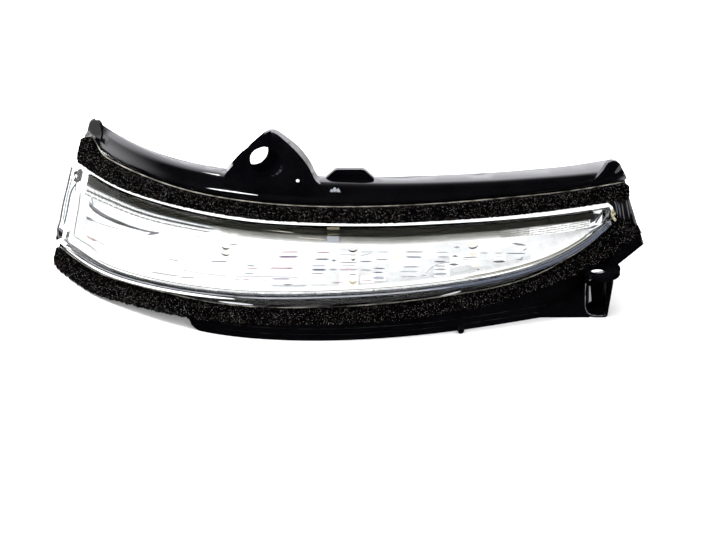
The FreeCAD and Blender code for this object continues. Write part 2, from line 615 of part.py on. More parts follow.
tape_lo = cut("LowerTape", feature("LowerTapeStrip", loft(strip(lambda t: lo_lo(t) + 0.1, lambda t: lo_hi(t) + 0.15, TF, FACE - 0.35),
                                                          -104.2, 92.6, ENDS)), foam_end)
tape_lo.Label = "lower_foam_tape"

# ---------------------------------------------------------------- inside: trim, reflector, optic
RW, TWL = D("reflector_wall"), D("trim_wall")


def mouth(t):
    return min(col["mouth"](t), 40)


def trim_section(t):
    zt = col["lens_top"](t) - LW - 0.25
    m = mouth(t)
    return [(2.5, zt - 0.4), (2.9, zt), (7.4, zt), (7.4, zt - TWL), (2.5 + TWL + 0.3, zt - TWL),
            (2.5 + TWL + 0.9, m + 0.9), (2.5 + TWL + 0.9, m), (3.2, m), (2.7, m + 1.0)]


trim = feature("InnerTrim", loft(trim_section, -99.6, 74.0))
trim.Label = "inner_trim"


def refl_top(t):
    return min(mouth(t) - 0.5, D("board_bottom") - 0.95)


def refl_section(t):
    zt, zb = refl_top(t), col["lens_low"](t) + LW + 0.25
    k = zt - zb
    w = RW
    outer = [(4.2, zt), (13.4, zt), (14.8, zt - 0.25 * k), (14.9, zb + 0.45 * k), (13.6, zb + 0.2 * k),
             (11.0, zb + 0.04 * k), (8.4, zb), (2.4, zb)]
    inner = [(2.4, zb + w), (8.2, zb + w), (10.6, zb + 0.04 * k + w), (12.9, zb + 0.2 * k + w * 0.6),
             (13.8, zb + 0.45 * k), (13.7, zt - 0.25 * k - 0.2), (12.8, zt - w), (4.2, zt - w)]
    return outer + inner


def refl_fill(t):
    return refl_section(t)[:8]


refl_shell = feature("ReflectorShell", loft(refl_section, -99.0, 73.0))
refl_capl = feature("ReflectorCapL", loft(refl_fill, -99.6, -98.4))
refl_capr = feature("ReflectorCapR", loft(refl_fill, 72.0, 73.6))
refl_all = fuse("ReflectorBody", [refl_shell, refl_capl, refl_capr])
LEDS = (-86.0, -45.6, -24.5, -1.8, 18.6, 38.6)
led_win = []
for k, t in enumerate(LEDS):
    c = pt(t, 11.3, D("board_bottom"))
    _, nn, tt = frame_at(t)
    rot = Rotation(Vector(0, 0, 1), math.degrees(math.atan2(tt.y, tt.x)))
    led_win.append(box("LedWindow%d" % k, c - tt * 2.2 - nn * 1.8 - Vector(0, 0, 4.0), 4.4, 3.6, 5.0, rot))
reflector = cut("Reflector", refl_all, fuse("LedWindows", led_win))
reflector.Label = "reflector"

optic = feature("InnerOptic", loft(lambda t: [
    (4.6, col["lens_low"](t) + LW + 0.25 + RW + 0.05), (4.6, refl_top(t) - RW - 0.8),
    (7.4, refl_top(t) - RW - 0.8), (7.4, col["lens_low"](t) + LW + 0.25 + RW + 0.05)], -97.8, 56.5))
optic.Label = "inner_optic"

# ---------------------------------------------------------------- circuit board
BZ, BT = D("board_bottom"), D("board_thick")


def board_pt(t, n):
    p = pt(t, n, BZ)
    return Vector(p.x, p.y, BZ)


bt = [-92, -86, -80, -72, -64, -56, -46, -36, -24, -12, 0, 12, 24, 36, 46, 56]
front = Part.BSplineCurve()
front.interpolate([board_pt(t, D("board_front")) for t in bt])
rear = Part.BSplineCurve()
rear.interpolate([board_pt(t, D("board_rear")) for t in bt])
outline = Part.Wire([front.toShape(), Part.makeLine(board_pt(bt[-1], D("board_front")), board_pt(bt[-1], D("board_rear"))),
                     rear.toShape(), Part.makeLine(board_pt(bt[0], D("board_rear")), board_pt(bt[0], D("board_front")))])
board_face = feature("BoardOutline", Part.Face(outline))
board_blank = doc.addObject("Part::Extrusion", "BoardBlank")
board_blank.Base = board_face
board_blank.DirMode = "Custom"
board_blank.Dir = Vector(0, 0, 1)
board_blank.setExpression("LengthFwd", "Dimensions.board_thick")
board_blank.Solid = True
holes = [cyl("BoardHole%d" % k, board_pt(t, 12.8) + (pt(t, 12.8, BZ + BT) - pt(t, 12.8, BZ)) * 1.0 - Vector(0, 0, BT + 1),
             "Dimensions.stake_radius + 0.1", BT + 2) for k, t in enumerate(STAKES)]
for k in range(3):
    holes.append(box("BoardPinHole%d" % k, Vector(SX + (k - 1) * pp + D("origin_x") - ps / 2 - 0.02,
                                                  28.3 + D("origin_y") - 0.02, BZ - 1), ps + 0.04, ps + 0.04, BT + 2))
board = cut("CircuitBoard", board_blank, fuse("BoardHoles", holes))
board.Label = "circuit_board"

# light sources on the underside of the board
for k, t in enumerate(LEDS):
    _, nn, tt = frame_at(t)
    rot = Rotation(Vector(0, 0, 1), math.degrees(math.atan2(tt.y, tt.x)))
    body = doc.addObject("PartDesign::Body", "Led%d" % (k + 1))
    body.Label = "led_%d" % (k + 1)
    plane = [f for f in body.Origin.OriginFeatures if f.Role == "XY_Plane"][0]
    sk = body.newObject("Sketcher::SketchObject", "LedOutline%d" % (k + 1))
    sk.AttachmentSupport = [(plane, "")]
    sk.MapMode = "FlatFace"
    L, W = D("led_length") / 2, D("led_width") / 2
    c4 = [(-L, -W), (L, -W), (L, W), (-L, W)]
    for i in range(4):
        a, b2 = c4[i], c4[(i + 1) % 4]
        sk.addGeometry(Part.LineSegment(Vector(a[0], a[1], 0), Vector(b2[0], b2[1], 0)), False)
    pad = body.newObject("PartDesign::Pad", "LedPad%d" % (k + 1))
    pad.Profile = sk
    pad.setExpression("Length", "Dimensions.led_height")
    sk2 = body.newObject("Sketcher::SketchObject", "LedCup%d" % (k + 1))
    sk2.AttachmentSupport = [(plane, "")]
    sk2.MapMode = "FlatFace"
    sk2.addGeometry(Part.Circle(Vector(0, 0, 0), Vector(0, 0, 1), D("led_cup_radius")), False)
    pk = body.newObject("PartDesign::Pocket", "LedPocket%d" % (k + 1))
    pk.Profile = sk2
    pk.Reversed = True
    pk.setExpression("Length", "Dimensions.led_cup_depth")
    c = pt(t, 11.3, BZ)
    body.Placement = Placement(Vector(c.x, c.y, BZ - D("led_height")), rot)

# parts on the top of the board


def on_board(label, t, n, prefix, caps):
    _, nn, tt = frame_at(t)
    rot = Rotation(Vector(0, 0, 1), math.degrees(math.atan2(tt.y, tt.x)))
    c = board_pt(t, n) + Vector(0, 0, BT)
    L, W = D(prefix + "_length"), D(prefix + "_width")
    b = box(label.title().replace("_", "") + "Core", c - tt * (L / 2 - caps) - nn * (W / 2) + Vector(0, 0, 0.0),
            "Dimensions.%s_length - %g" % (prefix, 2 * caps), "Dimensions.%s_width" % prefix,
            "Dimensions.%s_height" % prefix, rot)
    ends = [b]
    for sgn in (-1, 1):
        e = c + tt * (sgn * (L / 2 - caps / 2)) - tt * (caps / 2) - nn * (W / 2 - 0.2)
        ends.append(box(label.title().replace("_", "") + ("EndA" if sgn < 0 else "EndB"), e, caps,
                        "Dimensions.%s_width - 0.4" % prefix, "Dimensions.%s_height * 0.7" % prefix, rot))
    f = fuse(label.title().replace("_", ""), ends)
    f.Label = label
    return f


on_board("driver_chip", 6, 13.6, "chip", 0.7)
on_board("polarity_diode", 33, 11.0, "diode", 0.6)
on_board("filter_capacitor", 20, 13.6, "capacitor", 0.5)
for k, t in enumerate((-80.0, -58.0, -40.0, -22.0, 50.0)):
    on_board("resistor_%d" % (k + 1), t, 14.4, "resistor", 0.4)

# breathable disc over the vent hole
vent = doc.addObject("PartDesign::Body", "VentMembrane")
vent.Label = "vent_membrane"
plane = [f for f in vent.Origin.OriginFeatures if f.Role == "XY_Plane"][0]
sk = vent.newObject("Sketcher::SketchObject", "VentSketch")
sk.AttachmentSupport = [(plane, "")]
sk.MapMode = "FlatFace"
sk.addGeometry(Part.Circle(Vector(0, 0, 0), Vector(0, 0, 1), D("vent_disc_radius")), False)
pad = vent.newObject("PartDesign::Pad", "VentPad")
pad.Profile = sk
pad.setExpression("Length", "Dimensions.vent_disc_thick")
vent.Placement = Placement(vent_c + vn * (1.6 - D("vent_disc_thick")), Rotation(Vector(0, 0, 1), vn))

# ---------------------------------------------------------------- check and write
doc.recompute()
NODES = ["housing", "outer_lens", "sealant_upper", "sealant_lower", "upper_foam_gasket", "upper_foam_tape",
         "lower_foam_gasket", "lower_foam_tape", "inner_trim", "reflector", "inner_optic", "circuit_board",
         "driver_chip", "polarity_diode", "filter_capacitor", "vent_membrane"]
NODES += ["led_%d" % (k + 1) for k in range(len(LEDS))]
NODES += ["resistor_%d" % (k + 1) for k in range(5)]
NODES += ["terminal_%d" % (k + 1) for k in range(3)]
bad = [o.Name for o in doc.Objects if "Invalid" in o.State or "Error" in o.State]
if bad:
    raise RuntimeError("objects failed: %s" % bad)
os.makedirs("parts", exist_ok=True)
bbox = FreeCAD.BoundBox()
total = 0.0
for label in NODES:
    found = [o for o in doc.Objects if o.Label == label]
    if len(found) != 1:
        raise RuntimeError("node %s: %d objects" % (label, len(found)))
    sh = found[0].Shape
    if sh.isNull() or not sh.isValid() or not sh.Solids:
        raise RuntimeError("node %s: bad shape" % label)
    bb = sh.optimalBoundingBox(False, False)
    bbox.add(bb)
    total += sh.Volume
    print("%-20s solids %d  volume %9.1f  bbox %s" % (label, len(sh.Solids), sh.Volume,
          [round(v, 2) for v in (bb.XMin, bb.XMax, bb.YMin, bb.YMax, bb.ZMin, bb.ZMax)]))
    sh.exportStep("parts/%s.step" % label)
print("volume", round(total, 1))
print("whole", [round(v, 3) for v in (bbox.XMin, bbox.XMax, bbox.YMin, bbox.YMax, bbox.ZMin, bbox.ZMax)])
print("middle", round((bbox.XMin + bbox.XMax) / 2, 3), round((bbox.YMin + bbox.YMax) / 2, 3))
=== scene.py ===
import math
import random

import bmesh
import bpy
import numpy as np
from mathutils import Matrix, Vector, noise


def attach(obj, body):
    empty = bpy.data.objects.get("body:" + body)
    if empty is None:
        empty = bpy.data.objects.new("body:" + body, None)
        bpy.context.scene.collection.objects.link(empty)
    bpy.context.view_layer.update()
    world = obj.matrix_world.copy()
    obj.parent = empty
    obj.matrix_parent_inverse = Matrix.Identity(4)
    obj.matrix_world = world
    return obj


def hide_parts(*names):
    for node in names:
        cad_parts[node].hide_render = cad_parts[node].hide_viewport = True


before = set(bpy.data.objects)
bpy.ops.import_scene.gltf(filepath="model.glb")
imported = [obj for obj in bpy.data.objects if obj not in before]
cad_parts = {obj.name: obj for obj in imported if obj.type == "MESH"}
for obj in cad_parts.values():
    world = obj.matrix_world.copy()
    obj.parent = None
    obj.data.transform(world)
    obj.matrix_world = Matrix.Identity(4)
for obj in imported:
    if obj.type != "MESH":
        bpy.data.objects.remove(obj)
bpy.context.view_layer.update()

random.seed(7)
MM = 0.001

# ------------------------------------------------------------------ the lamp's own curves
# Same plan curve and stations as the construction: t runs along the lamp, n is the depth
# behind the lens face square to the plan curve, z is height; all in millimetres.
PLAN_T = [-110, -98, -88, -76, -64, -51, -38, -25, -12, 0, 13, 25, 38, 51, 64, 77, 90, 104]
PLAN_Y = [66, 47, 33.5, 21.5, 12.4, 5.8, 2.1, 0.4, 0.0, 0.7, 2.4, 4.8, 8.1, 12.2, 16.6, 21.6, 27.2, 33.8]
COL = ["t", "lean", "top", "depth", "flange", "lens_top", "mouth", "lens_low", "foam_high", "foam_low"]
STATION = [
    (-105, 16.7, 46.6, 7.8, 40.0, 35.4, 27.6, 9.0, 3.9, 0.9),
    (-96, 16.4, 47.2, 7.9, 40.6, 36.2, 28.6, 9.2, 4.5, 0.5),
    (-88, 16.3, 47.7, 8.3, 41.3, 36.6, 30.0, 9.5, 5.7, 0.9),
    (-78, 16.1, 48.1, 9.0, 41.9, 37.2, 31.2, 10.6, 7.5, 2.5),
    (-66, 15.9, 48.6, 10.0, 42.4, 37.9, 31.9, 12.3, 9.2, 3.8),
    (-50, 15.5, 49.2, 10.6, 42.8, 38.4, 32.5, 13.8, 9.9, 5.1),
    (-32, 14.8, 49.3, 10.8, 42.7, 38.3, 32.4, 14.6, 10.3, 5.8),
    (-12, 14.0, 49.1, 10.9, 42.4, 38.1, 32.1, 15.4, 10.8, 6.3),
    (10, 13.0, 48.2, 11.6, 42.1, 37.5, 31.3, 15.8, 11.3, 6.6),
    (32, 11.9, 47.1, 12.2, 41.6, 36.8, 30.4, 16.2, 12.0, 7.6),
    (52, 10.9, 45.7, 12.6, 40.9, 35.9, 29.3, 17.4, 13.3, 9.6),
    (61, 10.5, 45.1, 12.9, 40.5, 35.6, 28.8, 19.0, 15.3, 11.3),
    (69, 10.2, 44.5, 13.1, 40.2, 35.4, 28.6, 21.5, 18.3, 12.9),
    (77, 9.9, 43.9, 13.6, 40.0, 35.2, 28.8, 25.6, 22.0, 15.0),
    (85, 9.6, 43.4, 14.3, 39.9, 35.0, 29.4, 31.3, 28.4, 18.6),
    (96, 9.2, 42.9, 15.0, 39.7, 34.7, 30.0, 38.0, 34.0, 25.0),
]
ORG_X, ORG_Y = 4.955, -36.912
FACE, FL, FB, BB, BW, LW = 5.5, 1.5, 8.8, 20.5, 2.0, 2.0
FOAM_F, TAPE_F = 3.0, 4.9
LENS0, LENS1 = -102.2, 84.0


class Spline:
    """Natural cubic spline; takes single numbers or arrays."""

    def __init__(self, x, y):
        x, y = np.array(x, float), np.array(y, float)
        k = len(x)
        h = np.diff(x)
        a = np.eye(k)
        d = np.zeros(k)
        for i in range(1, k - 1):
            a[i, i - 1], a[i, i], a[i, i + 1] = h[i - 1], 2 * (h[i - 1] + h[i]), h[i]
            d[i] = 6 * ((y[i + 1] - y[i]) / h[i] - (y[i] - y[i - 1]) / h[i - 1])
        self.x, self.y, self.h, self.m = x, y, h, np.linalg.solve(a, d)

    def parts(self, v):
        v = np.asarray(v, float)
        i = np.clip(np.searchsorted(self.x, v, side="left") - 1, 0, len(self.h) - 1)
        return i, self.h[i], self.x[i + 1] - v, v - self.x[i]

    def __call__(self, v):
        i, h, a, b = self.parts(v)
        m, y = self.m, self.y
        return ((m[i] * a ** 3 + m[i + 1] * b ** 3) / (6 * h) + (y[i] / h - m[i] * h / 6) * a
                + (y[i + 1] / h - m[i + 1] * h / 6) * b)

    def slope(self, v):
        i, h, a, b = self.parts(v)
        m, y = self.m, self.y
        return ((-m[i] * a * a + m[i + 1] * b * b) / (2 * h) - (y[i] / h - m[i] * h / 6)
                + (y[i + 1] / h - m[i + 1] * h / 6))


plan = Spline(PLAN_T, PLAN_Y)
C = {n: Spline([s[0] for s in STATION], [s[k] for s in STATION]) for k, n in enumerate(COL) if k}


def P(t, n, z):
    """Points in metres for t, n, z in millimetres (numbers or arrays of one shape)."""
    t, n, z = np.broadcast_arrays(np.asarray(t, float), np.asarray(n, float), np.asarray(z, float))
    s = plan.slope(t)
    q = np.sqrt(1 + s * s)
    d = n + z * np.tan(np.radians(C["lean"](t)))
    return np.stack([t + ORG_X - s / q * d, plan(t) + ORG_Y + d / q, z], -1) * MM


def frame_at(t):
    s = float(plan.slope(t))
    q = math.sqrt(1 + s * s)
    return Vector((t + ORG_X, float(plan(t)) + ORG_Y, 0)), Vector((-s / q, 1 / q, 0)), Vector((1 / q, s / q, 0))


def rounded(poly, radii, seg=3):
    """Closed polygon with its corners rounded; the number of points does not depend on the shape."""
    k = len(poly)
    out = []
    for i in range(k):
        a, b, c = (np.array(poly[j % k], float) for j in (i - 1, i, i + 1))
        r = radii[i] if isinstance(radii, (list, tuple)) else radii
        if r <= 0:
            out.append(tuple(b))
            continue
        u, v = a - b, c - b
        lu, lv = np.linalg.norm(u), np.linalg.norm(v)
        u, v = u / max(lu, 1e-9), v / max(lv, 1e-9)
        ang = math.acos(max(-1, min(1, float(u @ v))))
        if ang > 3.1 or ang < 0.05:
            out += [tuple(b)] * (seg + 1)
            continue
        d = min(r / math.tan(ang / 2), 0.45 * lu, 0.45 * lv)
        for j in range(seg + 1):
            w = j / seg
            # quadratic blend through the corner
            p = (1 - w) ** 2 * (b + u * d) + 2 * w * (1 - w) * b + w ** 2 * (b + v * d)
            out.append(tuple(p))
    return out


def new_mesh(name, verts, faces, mats, smooth=True, sharp=35.0, index=None):
    me = bpy.data.meshes.new(name)
    me.from_pydata([tuple(v) for v in verts], [], [tuple(f) for f in faces])
    me.validate(clean_customdata=False)
    for m in mats if isinstance(mats, (list, tuple)) else [mats]:
        me.materials.append(m)
    if index is not None:
        me.polygons.foreach_set("material_index", np.asarray(index, np.int32))
    me.polygons.foreach_set("use_smooth", [smooth] * len(me.polygons))
    if smooth and sharp:
        me.set_sharp_from_angle(angle=math.radians(sharp))
    o = bpy.data.objects.new(name, me)
    bpy.context.scene.collection.objects.link(o)
    return o


def grid_faces(nu, nv, closed):
    i = np.arange(nu - 1)[:, None]
    w = nv if closed else nv - 1
    j = np.arange(w)[None, :]
    j2 = (j + 1) % nv
    return np.stack([i * nv + j, (i + 1) * nv + j, (i + 1) * nv + j2, i * nv + j2], -1).reshape(-1, 4)


def fix_normals(o):
    bm = bmesh.new()
    bm.from_mesh(o.data)
    bmesh.ops.remove_doubles(bm, verts=bm.verts, dist=1e-7)
    bmesh.ops.recalc_face_normals(bm, faces=bm.faces)
    bm.to_mesh(o.data)
    bm.free()
    o.data.update()
    return o


def loft(name, section, ts, mats, sharp=35.0, caps=True):
    """Closed solid: section(t) gives one ring of (n, z) for each t."""
    rings = []
    for t in ts:
        s = np.array(section(float(t)), float)
        rings.append(P(np.full(len(s), t), s[:, 0], s[:, 1]))
    pts = np.array(rings)
    nu, nv = pts.shape[:2]
    faces = [tuple(f) for f in grid_faces(nu, nv, True)]
    if caps:
        faces.append(tuple(range(nv - 1, -1, -1)))
        faces.append(tuple((nu - 1) * nv + j for j in range(nv)))
    o = new_mesh(name, pts.reshape(-1, 3), faces, mats, True, None)
    fix_normals(o)
    if sharp:
        o.data.set_sharp_from_angle(angle=math.radians(sharp))
    return o


def boolean(o, tool, op="DIFFERENCE", keep=False):
    m = o.modifiers.new("b", "BOOLEAN")
    m.operation, m.solver, m.object = op, "EXACT", tool
    dg = bpy.context.evaluated_depsgraph_get()
    me = bpy.data.meshes.new_from_object(o.evaluated_get(dg))
    old = o.data
    o.modifiers.clear()
    o.data = me
    bpy.data.meshes.remove(old)
    if not keep:
        bpy.data.objects.remove(tool)
    return o


def steps(t0, t1, d):
    return np.linspace(t0, t1, max(2, int(round((t1 - t0) / d)) + 1))


# ------------------------------------------------------------------ materials
def material(name):
    m = bpy.data.materials.new(name)
    m.use_nodes = True
    nt = m.node_tree
    nt.nodes.clear()
    out = nt.nodes.new("ShaderNodeOutputMaterial")
    b = nt.nodes.new("ShaderNodeBsdfPrincipled")
    nt.links.new(b.outputs[0], out.inputs["Surface"])
    return m, nt, b, out


def coords(nt, scale=(1, 1, 1), kind="Object"):
    c = nt.nodes.new("ShaderNodeTexCoord")
    mp = nt.nodes.new("ShaderNodeMapping")
    mp.inputs["Scale"].default_value = scale
    nt.links.new(c.outputs[kind], mp.inputs["Vector"])
    return mp.outputs["Vector"]


def noise_tex(nt, vec, scale, detail=2.0, rough=0.5):
    n = nt.nodes.new("ShaderNodeTexNoise")
    n.inputs["Scale"].default_value = scale
    n.inputs["Detail"].default_value = detail
    n.inputs["Roughness"].default_value = rough
    nt.links.new(vec, n.inputs["Vector"])
    return n.outputs["Fac"]


def voronoi(nt, vec, scale, feature="F1", out="Distance"):
    n = nt.nodes.new("ShaderNodeTexVoronoi")
    n.feature = feature
    n.inputs["Scale"].default_value = scale
    nt.links.new(vec, n.inputs["Vector"])
    return n.outputs[out]


def ramp(nt, fac, stops, interp="LINEAR"):
    r = nt.nodes.new("ShaderNodeValToRGB")
    r.color_ramp.interpolation = interp
    el = r.color_ramp.elements
    while len(el) < len(stops):
        el.new(0.5)
    for e, (p, c) in zip(el, stops):
        e.position = p
        e.color = (*c, 1.0) if len(c) == 3 else c
    nt.links.new(fac, r.inputs["Fac"])
    return r.outputs["Color"]


def fmap(nt, fac, a0, a1, b0, b1):
    n = nt.nodes.new("ShaderNodeMapRange")
    n.inputs["From Min"].default_value, n.inputs["From Max"].default_value = a0, a1
    n.inputs["To Min"].default_value, n.inputs["To Max"].default_value = b0, b1
    nt.links.new(fac, n.inputs["Value"])
    return n.outputs["Result"]


def mathn(nt, op, a, b=None, clamp=False):
    n = nt.nodes.new("ShaderNodeMath")
    n.operation = op
    n.use_clamp = clamp
    for k, v in enumerate((a, b)):
        if v is None:
            continue
        if isinstance(v, (int, float)):
            n.inputs[k].default_value = v
        else:
            nt.links.new(v, n.inputs[k])
    return n.outputs[0]


def mixc(nt, fac, a, b):
    n = nt.nodes.new("ShaderNodeMix")
    n.data_type = "RGBA"
    for sock, v in ((n.inputs[0], fac), (n.inputs[6], a), (n.inputs[7], b)):
        if isinstance(v, (int, float)):
            sock.default_value = v
        elif isinstance(v, tuple):
            sock.default_value = (*v, 1.0)
        else:
            nt.links.new(v, sock)
    return n.outputs[2]


def bump(nt, b, height, strength, dist):
    n = nt.nodes.new("ShaderNodeBump")
    n.inputs["Strength"].default_value = strength
    n.inputs["Distance"].default_value = dist
    nt.links.new(height, n.inputs["Height"])
    nt.links.new(n.outputs["Normal"], b.inputs["Normal"])
    return n


def setb(b, **kw):
    names = {"base": "Base Color", "rough": "Roughness", "metal": "Metallic", "ior": "IOR", "trans": "Transmission Weight",
             "coat": "Coat Weight", "coat_rough": "Coat Roughness", "spec": "Specular IOR Level", "alpha": "Alpha"}
    for k, v in kw.items():
        b.inputs[names[k]].default_value = (*v, 1.0) if isinstance(v, tuple) else v


# glossy black moulded plastic
m_black, nt, b, _ = material("gloss_black_plastic")
v = coords(nt)
cloud = noise_tex(nt, v, 140, 3)
fine = noise_tex(nt, v, 2600, 2)
nt.links.new(ramp(nt, cloud, [(0.3, (0.0008, 0.0008, 0.0011)), (0.75, (0.0018, 0.0018, 0.0026))]), b.inputs["Base Color"])
nt.links.new(fmap(nt, mathn(nt, "ADD", cloud, fine), 0.6, 1.4, 0.10, 0.2), b.inputs["Roughness"])
bump(nt, b, mathn(nt, "ADD", mathn(nt, "MULTIPLY", cloud, 0.35), mathn(nt, "MULTIPLY", fine, 0.05)), 0.06, 0.0003)
setb(b, ior=1.5)
# the bore of the ear and its rim are dull
far = nt.nodes.new("ShaderNodeVectorMath")
far.operation = "DISTANCE"
nt.links.new(v, far.inputs[0])
far.inputs[1].default_value = (-0.02672, -0.01031, 0.05490)
lobe = nt.nodes.new("ShaderNodeVectorMath")
lobe.operation = "DISTANCE"
nt.links.new(v, lobe.inputs[0])
lobe.inputs[1].default_value = P(-102.5, 7.0, 49.0)
gloss = mathn(nt, "MULTIPLY", fmap(nt, far.outputs["Value"], 0.0086, 0.0100, 0.0, 0.5), fmap(nt, lobe.outputs["Value"], 0.006, 0.009, 0.12, 1.0))
nt.links.new(gloss, b.inputs["Specular IOR Level"])

# open-cell sponge; the light specks in its colour are painted glints on the cell edges
m_foam, nt, b, _ = material("black_sponge")
v = coords(nt)
cells = voronoi(nt, v, 2300)
grain = noise_tex(nt, v, 3400, 2, 0.6)
near = voronoi(nt, v, 3300)
pick = voronoi(nt, v, 3300, out="Color")
glint_specks = mathn(nt, "MULTIPLY", fmap(nt, near, 0.2, 0.42, 1.0, 0.0), fmap(nt, pick, 0.62, 0.78, 0.0, 0.75))
tint = noise_tex(nt, v, 900, 2)
dark = ramp(nt, grain, [(0.35, (0.0004, 0.0004, 0.0005)), (0.7, (0.0016, 0.0016, 0.0018))])
glint_colours = ramp(nt, tint, [(0.38, (0.42, 0.42, 0.43)), (0.52, (0.24, 0.22, 0.2)), (0.66, (0.18, 0.10, 0.055))])
nt.links.new(mixc(nt, glint_specks, dark, glint_colours), b.inputs["Base Color"])
setb(b, rough=1.0, spec=0.0)
bump(nt, b, mathn(nt, "ADD", cells, grain), 0.9, 0.00035)

# adhesive tape edge
m_tape, nt, b, _ = material("pale_tape")
v = coords(nt)
brk = noise_tex(nt, v, 190, 3, 0.6)
nt.links.new(ramp(nt, brk, [(0.36, (0.02, 0.019, 0.016)), (0.52, (0.26, 0.25, 0.21)), (0.7, (0.5, 0.48, 0.43))]), b.inputs["Base Color"])
setb(b, rough=0.45)
bump(nt, b, brk, 0.2, 0.0002)

# clear moulded lens
m_lens, nt, b, _ = material("clear_lens")
v = coords(nt)
flow = noise_tex(nt, v, 55, 2)
setb(b, base=(0.992, 0.996, 0.994), rough=0.0, ior=1.16, trans=1.0)
bump(nt, b, flow, 0.05, 0.0006)

# edge of the clear lens, painted white as the highlight it catches from above
m_edge_highlight, nt, b, _ = material("lens_edge_highlight")
v = coords(nt)
flow = noise_tex(nt, v, 120, 2)
nt.links.new(ramp(nt, flow, [(0.3, (0.82, 0.85, 0.86)), (0.7, (0.97, 0.98, 0.98))]), b.inputs["Base Color"])
setb(b, rough=0.12, ior=1.45)
bump(nt, b, flow, 0.1, 0.0003)

# dark grained trim
m_trim, nt, b, _ = material("dark_grained_trim")
v = coords(nt, (1, 1, 3.2))
g1 = noise_tex(nt, v, 1500, 3, 0.7)
g2 = noise_tex(nt, v, 90, 2)
nt.links.new(ramp(nt, g1, [(0.42, (0.0005, 0.0005, 0.0002)), (0.6, (0.0045, 0.0044, 0.0014)), (0.78, (0.035, 0.030, 0.010))]), b.inputs["Base Color"])
nt.links.new(fmap(nt, g2, 0.3, 0.7, 0.35, 0.55), b.inputs["Roughness"])
setb(b, spec=0.03)
bump(nt, b, g1, 0.3, 0.0002)

# bright plating
def chrome(name, rough0, rough1, tint=(0.95, 0.955, 0.965)):
    m, nt, b, _ = material(name)
    v = coords(nt)
    f = noise_tex(nt, v, 260, 2)
    nt.links.new(ramp(nt, f, [(0.3, tuple(0.96 * c for c in tint)), (0.7, tint)]), b.inputs["Base Color"])
    nt.links.new(fmap(nt, f, 0.3, 0.7, rough0, rough1), b.inputs["Roughness"])
    setb(b, metal=1.0)
    bump(nt, b, f, 0.04, 0.0005)
    return m


m_chrome = chrome("bright_plating", 0.22, 0.34)
m_chrome.node_tree.nodes["Principled BSDF"].inputs["Metallic"].default_value = 0.04


def plain(name, col, rough=0.5, spec=0.3, scale=420, spread=0.12, metal=0.0, relief=0.06):
    """Moulded or printed surface of one colour with a faint unevenness."""
    m, nt, b, _ = material(name)
    v = coords(nt)
    f = noise_tex(nt, v, scale, 2)
    lo = tuple(c * (1 - spread) for c in col)
    hi = tuple(min(1.0, c * (1 + spread)) for c in col)
    nt.links.new(ramp(nt, f, [(0.3, lo), (0.7, hi)]), b.inputs["Base Color"])
    setb(b, rough=rough, spec=spec, metal=metal)
    bump(nt, b, f, relief, 0.0002)
    return m


# clear optic: nearly invisible block whose ribs carry the pattern
m_clear, nt, b, _ = material("clear_optic")
v = coords(nt)
f = noise_tex(nt, v, 90, 2)
nt.links.new(ramp(nt, f, [(0.3, (0.985, 0.99, 0.99)), (0.7, (1, 1, 1))]), b.inputs["Base Color"])
setb(b, rough=0.0, ior=1.03, trans=1.0)

m_mark = {
    "s": plain("facet_slate", (0.06, 0.07, 0.10)), "u": plain("facet_purple", (0.13, 0.09, 0.14)),
    "p": plain("facet_rose", (0.28, 0.17, 0.19)), "g": plain("facet_grey", (0.10, 0.10, 0.11), spread=0.3),
    "t": plain("facet_teal", (0.10, 0.13, 0.14)), "b": plain("facet_beige", (0.62, 0.56, 0.49)),
    "l": plain("facet_pale", (0.25, 0.26, 0.29)), "w": plain("facet_lavender", (0.66, 0.66, 0.69)),
    "d": plain("facet_umber", (0.03, 0.022, 0.01)), "o": plain("facet_olive", (0.11, 0.10, 0.055)),
    "k": plain("facet_bottle", (0.03, 0.04, 0.034), spread=0.3), "y": plain("facet_straw", (0.36, 0.34, 0.22)),
    "c": plain("facet_sky", (0.60, 0.65, 0.69)), "r": plain("facet_rust", (0.30, 0.19, 0.16)),
    "m": plain("facet_mist", (0.88, 0.88, 0.9)), "x": plain("facet_black", (0.004, 0.004, 0.005), 0.3, 0.15),
}

# fluted strip between trim and reflector: tones from its shaded top to its lit lower edge
m_flute = [plain("flute_tone_%d" % k_, c_, 0.4, 0.1) for k_, c_ in enumerate(
    [(0.006, 0.006, 0.006), (0.045, 0.045, 0.04), (0.10, 0.10, 0.085), (0.15, 0.15, 0.14), (0.21, 0.21, 0.20),
     (0.30, 0.30, 0.29), (0.44, 0.44, 0.43), (0.75, 0.75, 0.75)])]

# near-white colour painted as highlights on edges, bevels and slivers
m_highlight = plain("painted_highlights", (0.86, 0.87, 0.9), 0.3)
# grey painted as dim highlights on rims, ridges and small bumps
m_dim_highlight = plain("dim_painted_highlights", (0.12, 0.12, 0.13), 0.35)

# ------------------------------------------------------------------ frame nodes that stay as they are
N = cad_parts


def dress(node, m, smooth=None):
    o = N[node]
    o.data.materials.clear()
    o.data.materials.append(m)
    return o


housing = dress("housing", m_black)
w = housing.modifiers.new("weld", "WELD")
w.merge_threshold = 0.00001
bv = housing.modifiers.new("edges", "BEVEL")
bv.width = 0.00028
bv.segments = 2
bv.limit_method = "ANGLE"
bv.angle_limit = math.radians(40)
bv.harden_normals = True
bv.use_clamp_overlap = True

for n_ in ("upper_foam_tape", "lower_foam_tape"):
    dress(n_, m_tape)
for n_ in ("sealant_upper", "sealant_lower"):
    dress(n_, m_foam)

# ------------------------------------------------------------------ foam strips


def foam_face(t):
    """Front of both strips: they thicken towards the outboard end, and slope back at the very end."""
    u = min(max((-58.0 - t) / 40.0, 0.0), 1.0)
    return FOAM_F - 1.8 * u * u * (3 - 2 * u) + 0.455 * max(0.0, -101.3 - t) ** 1.5


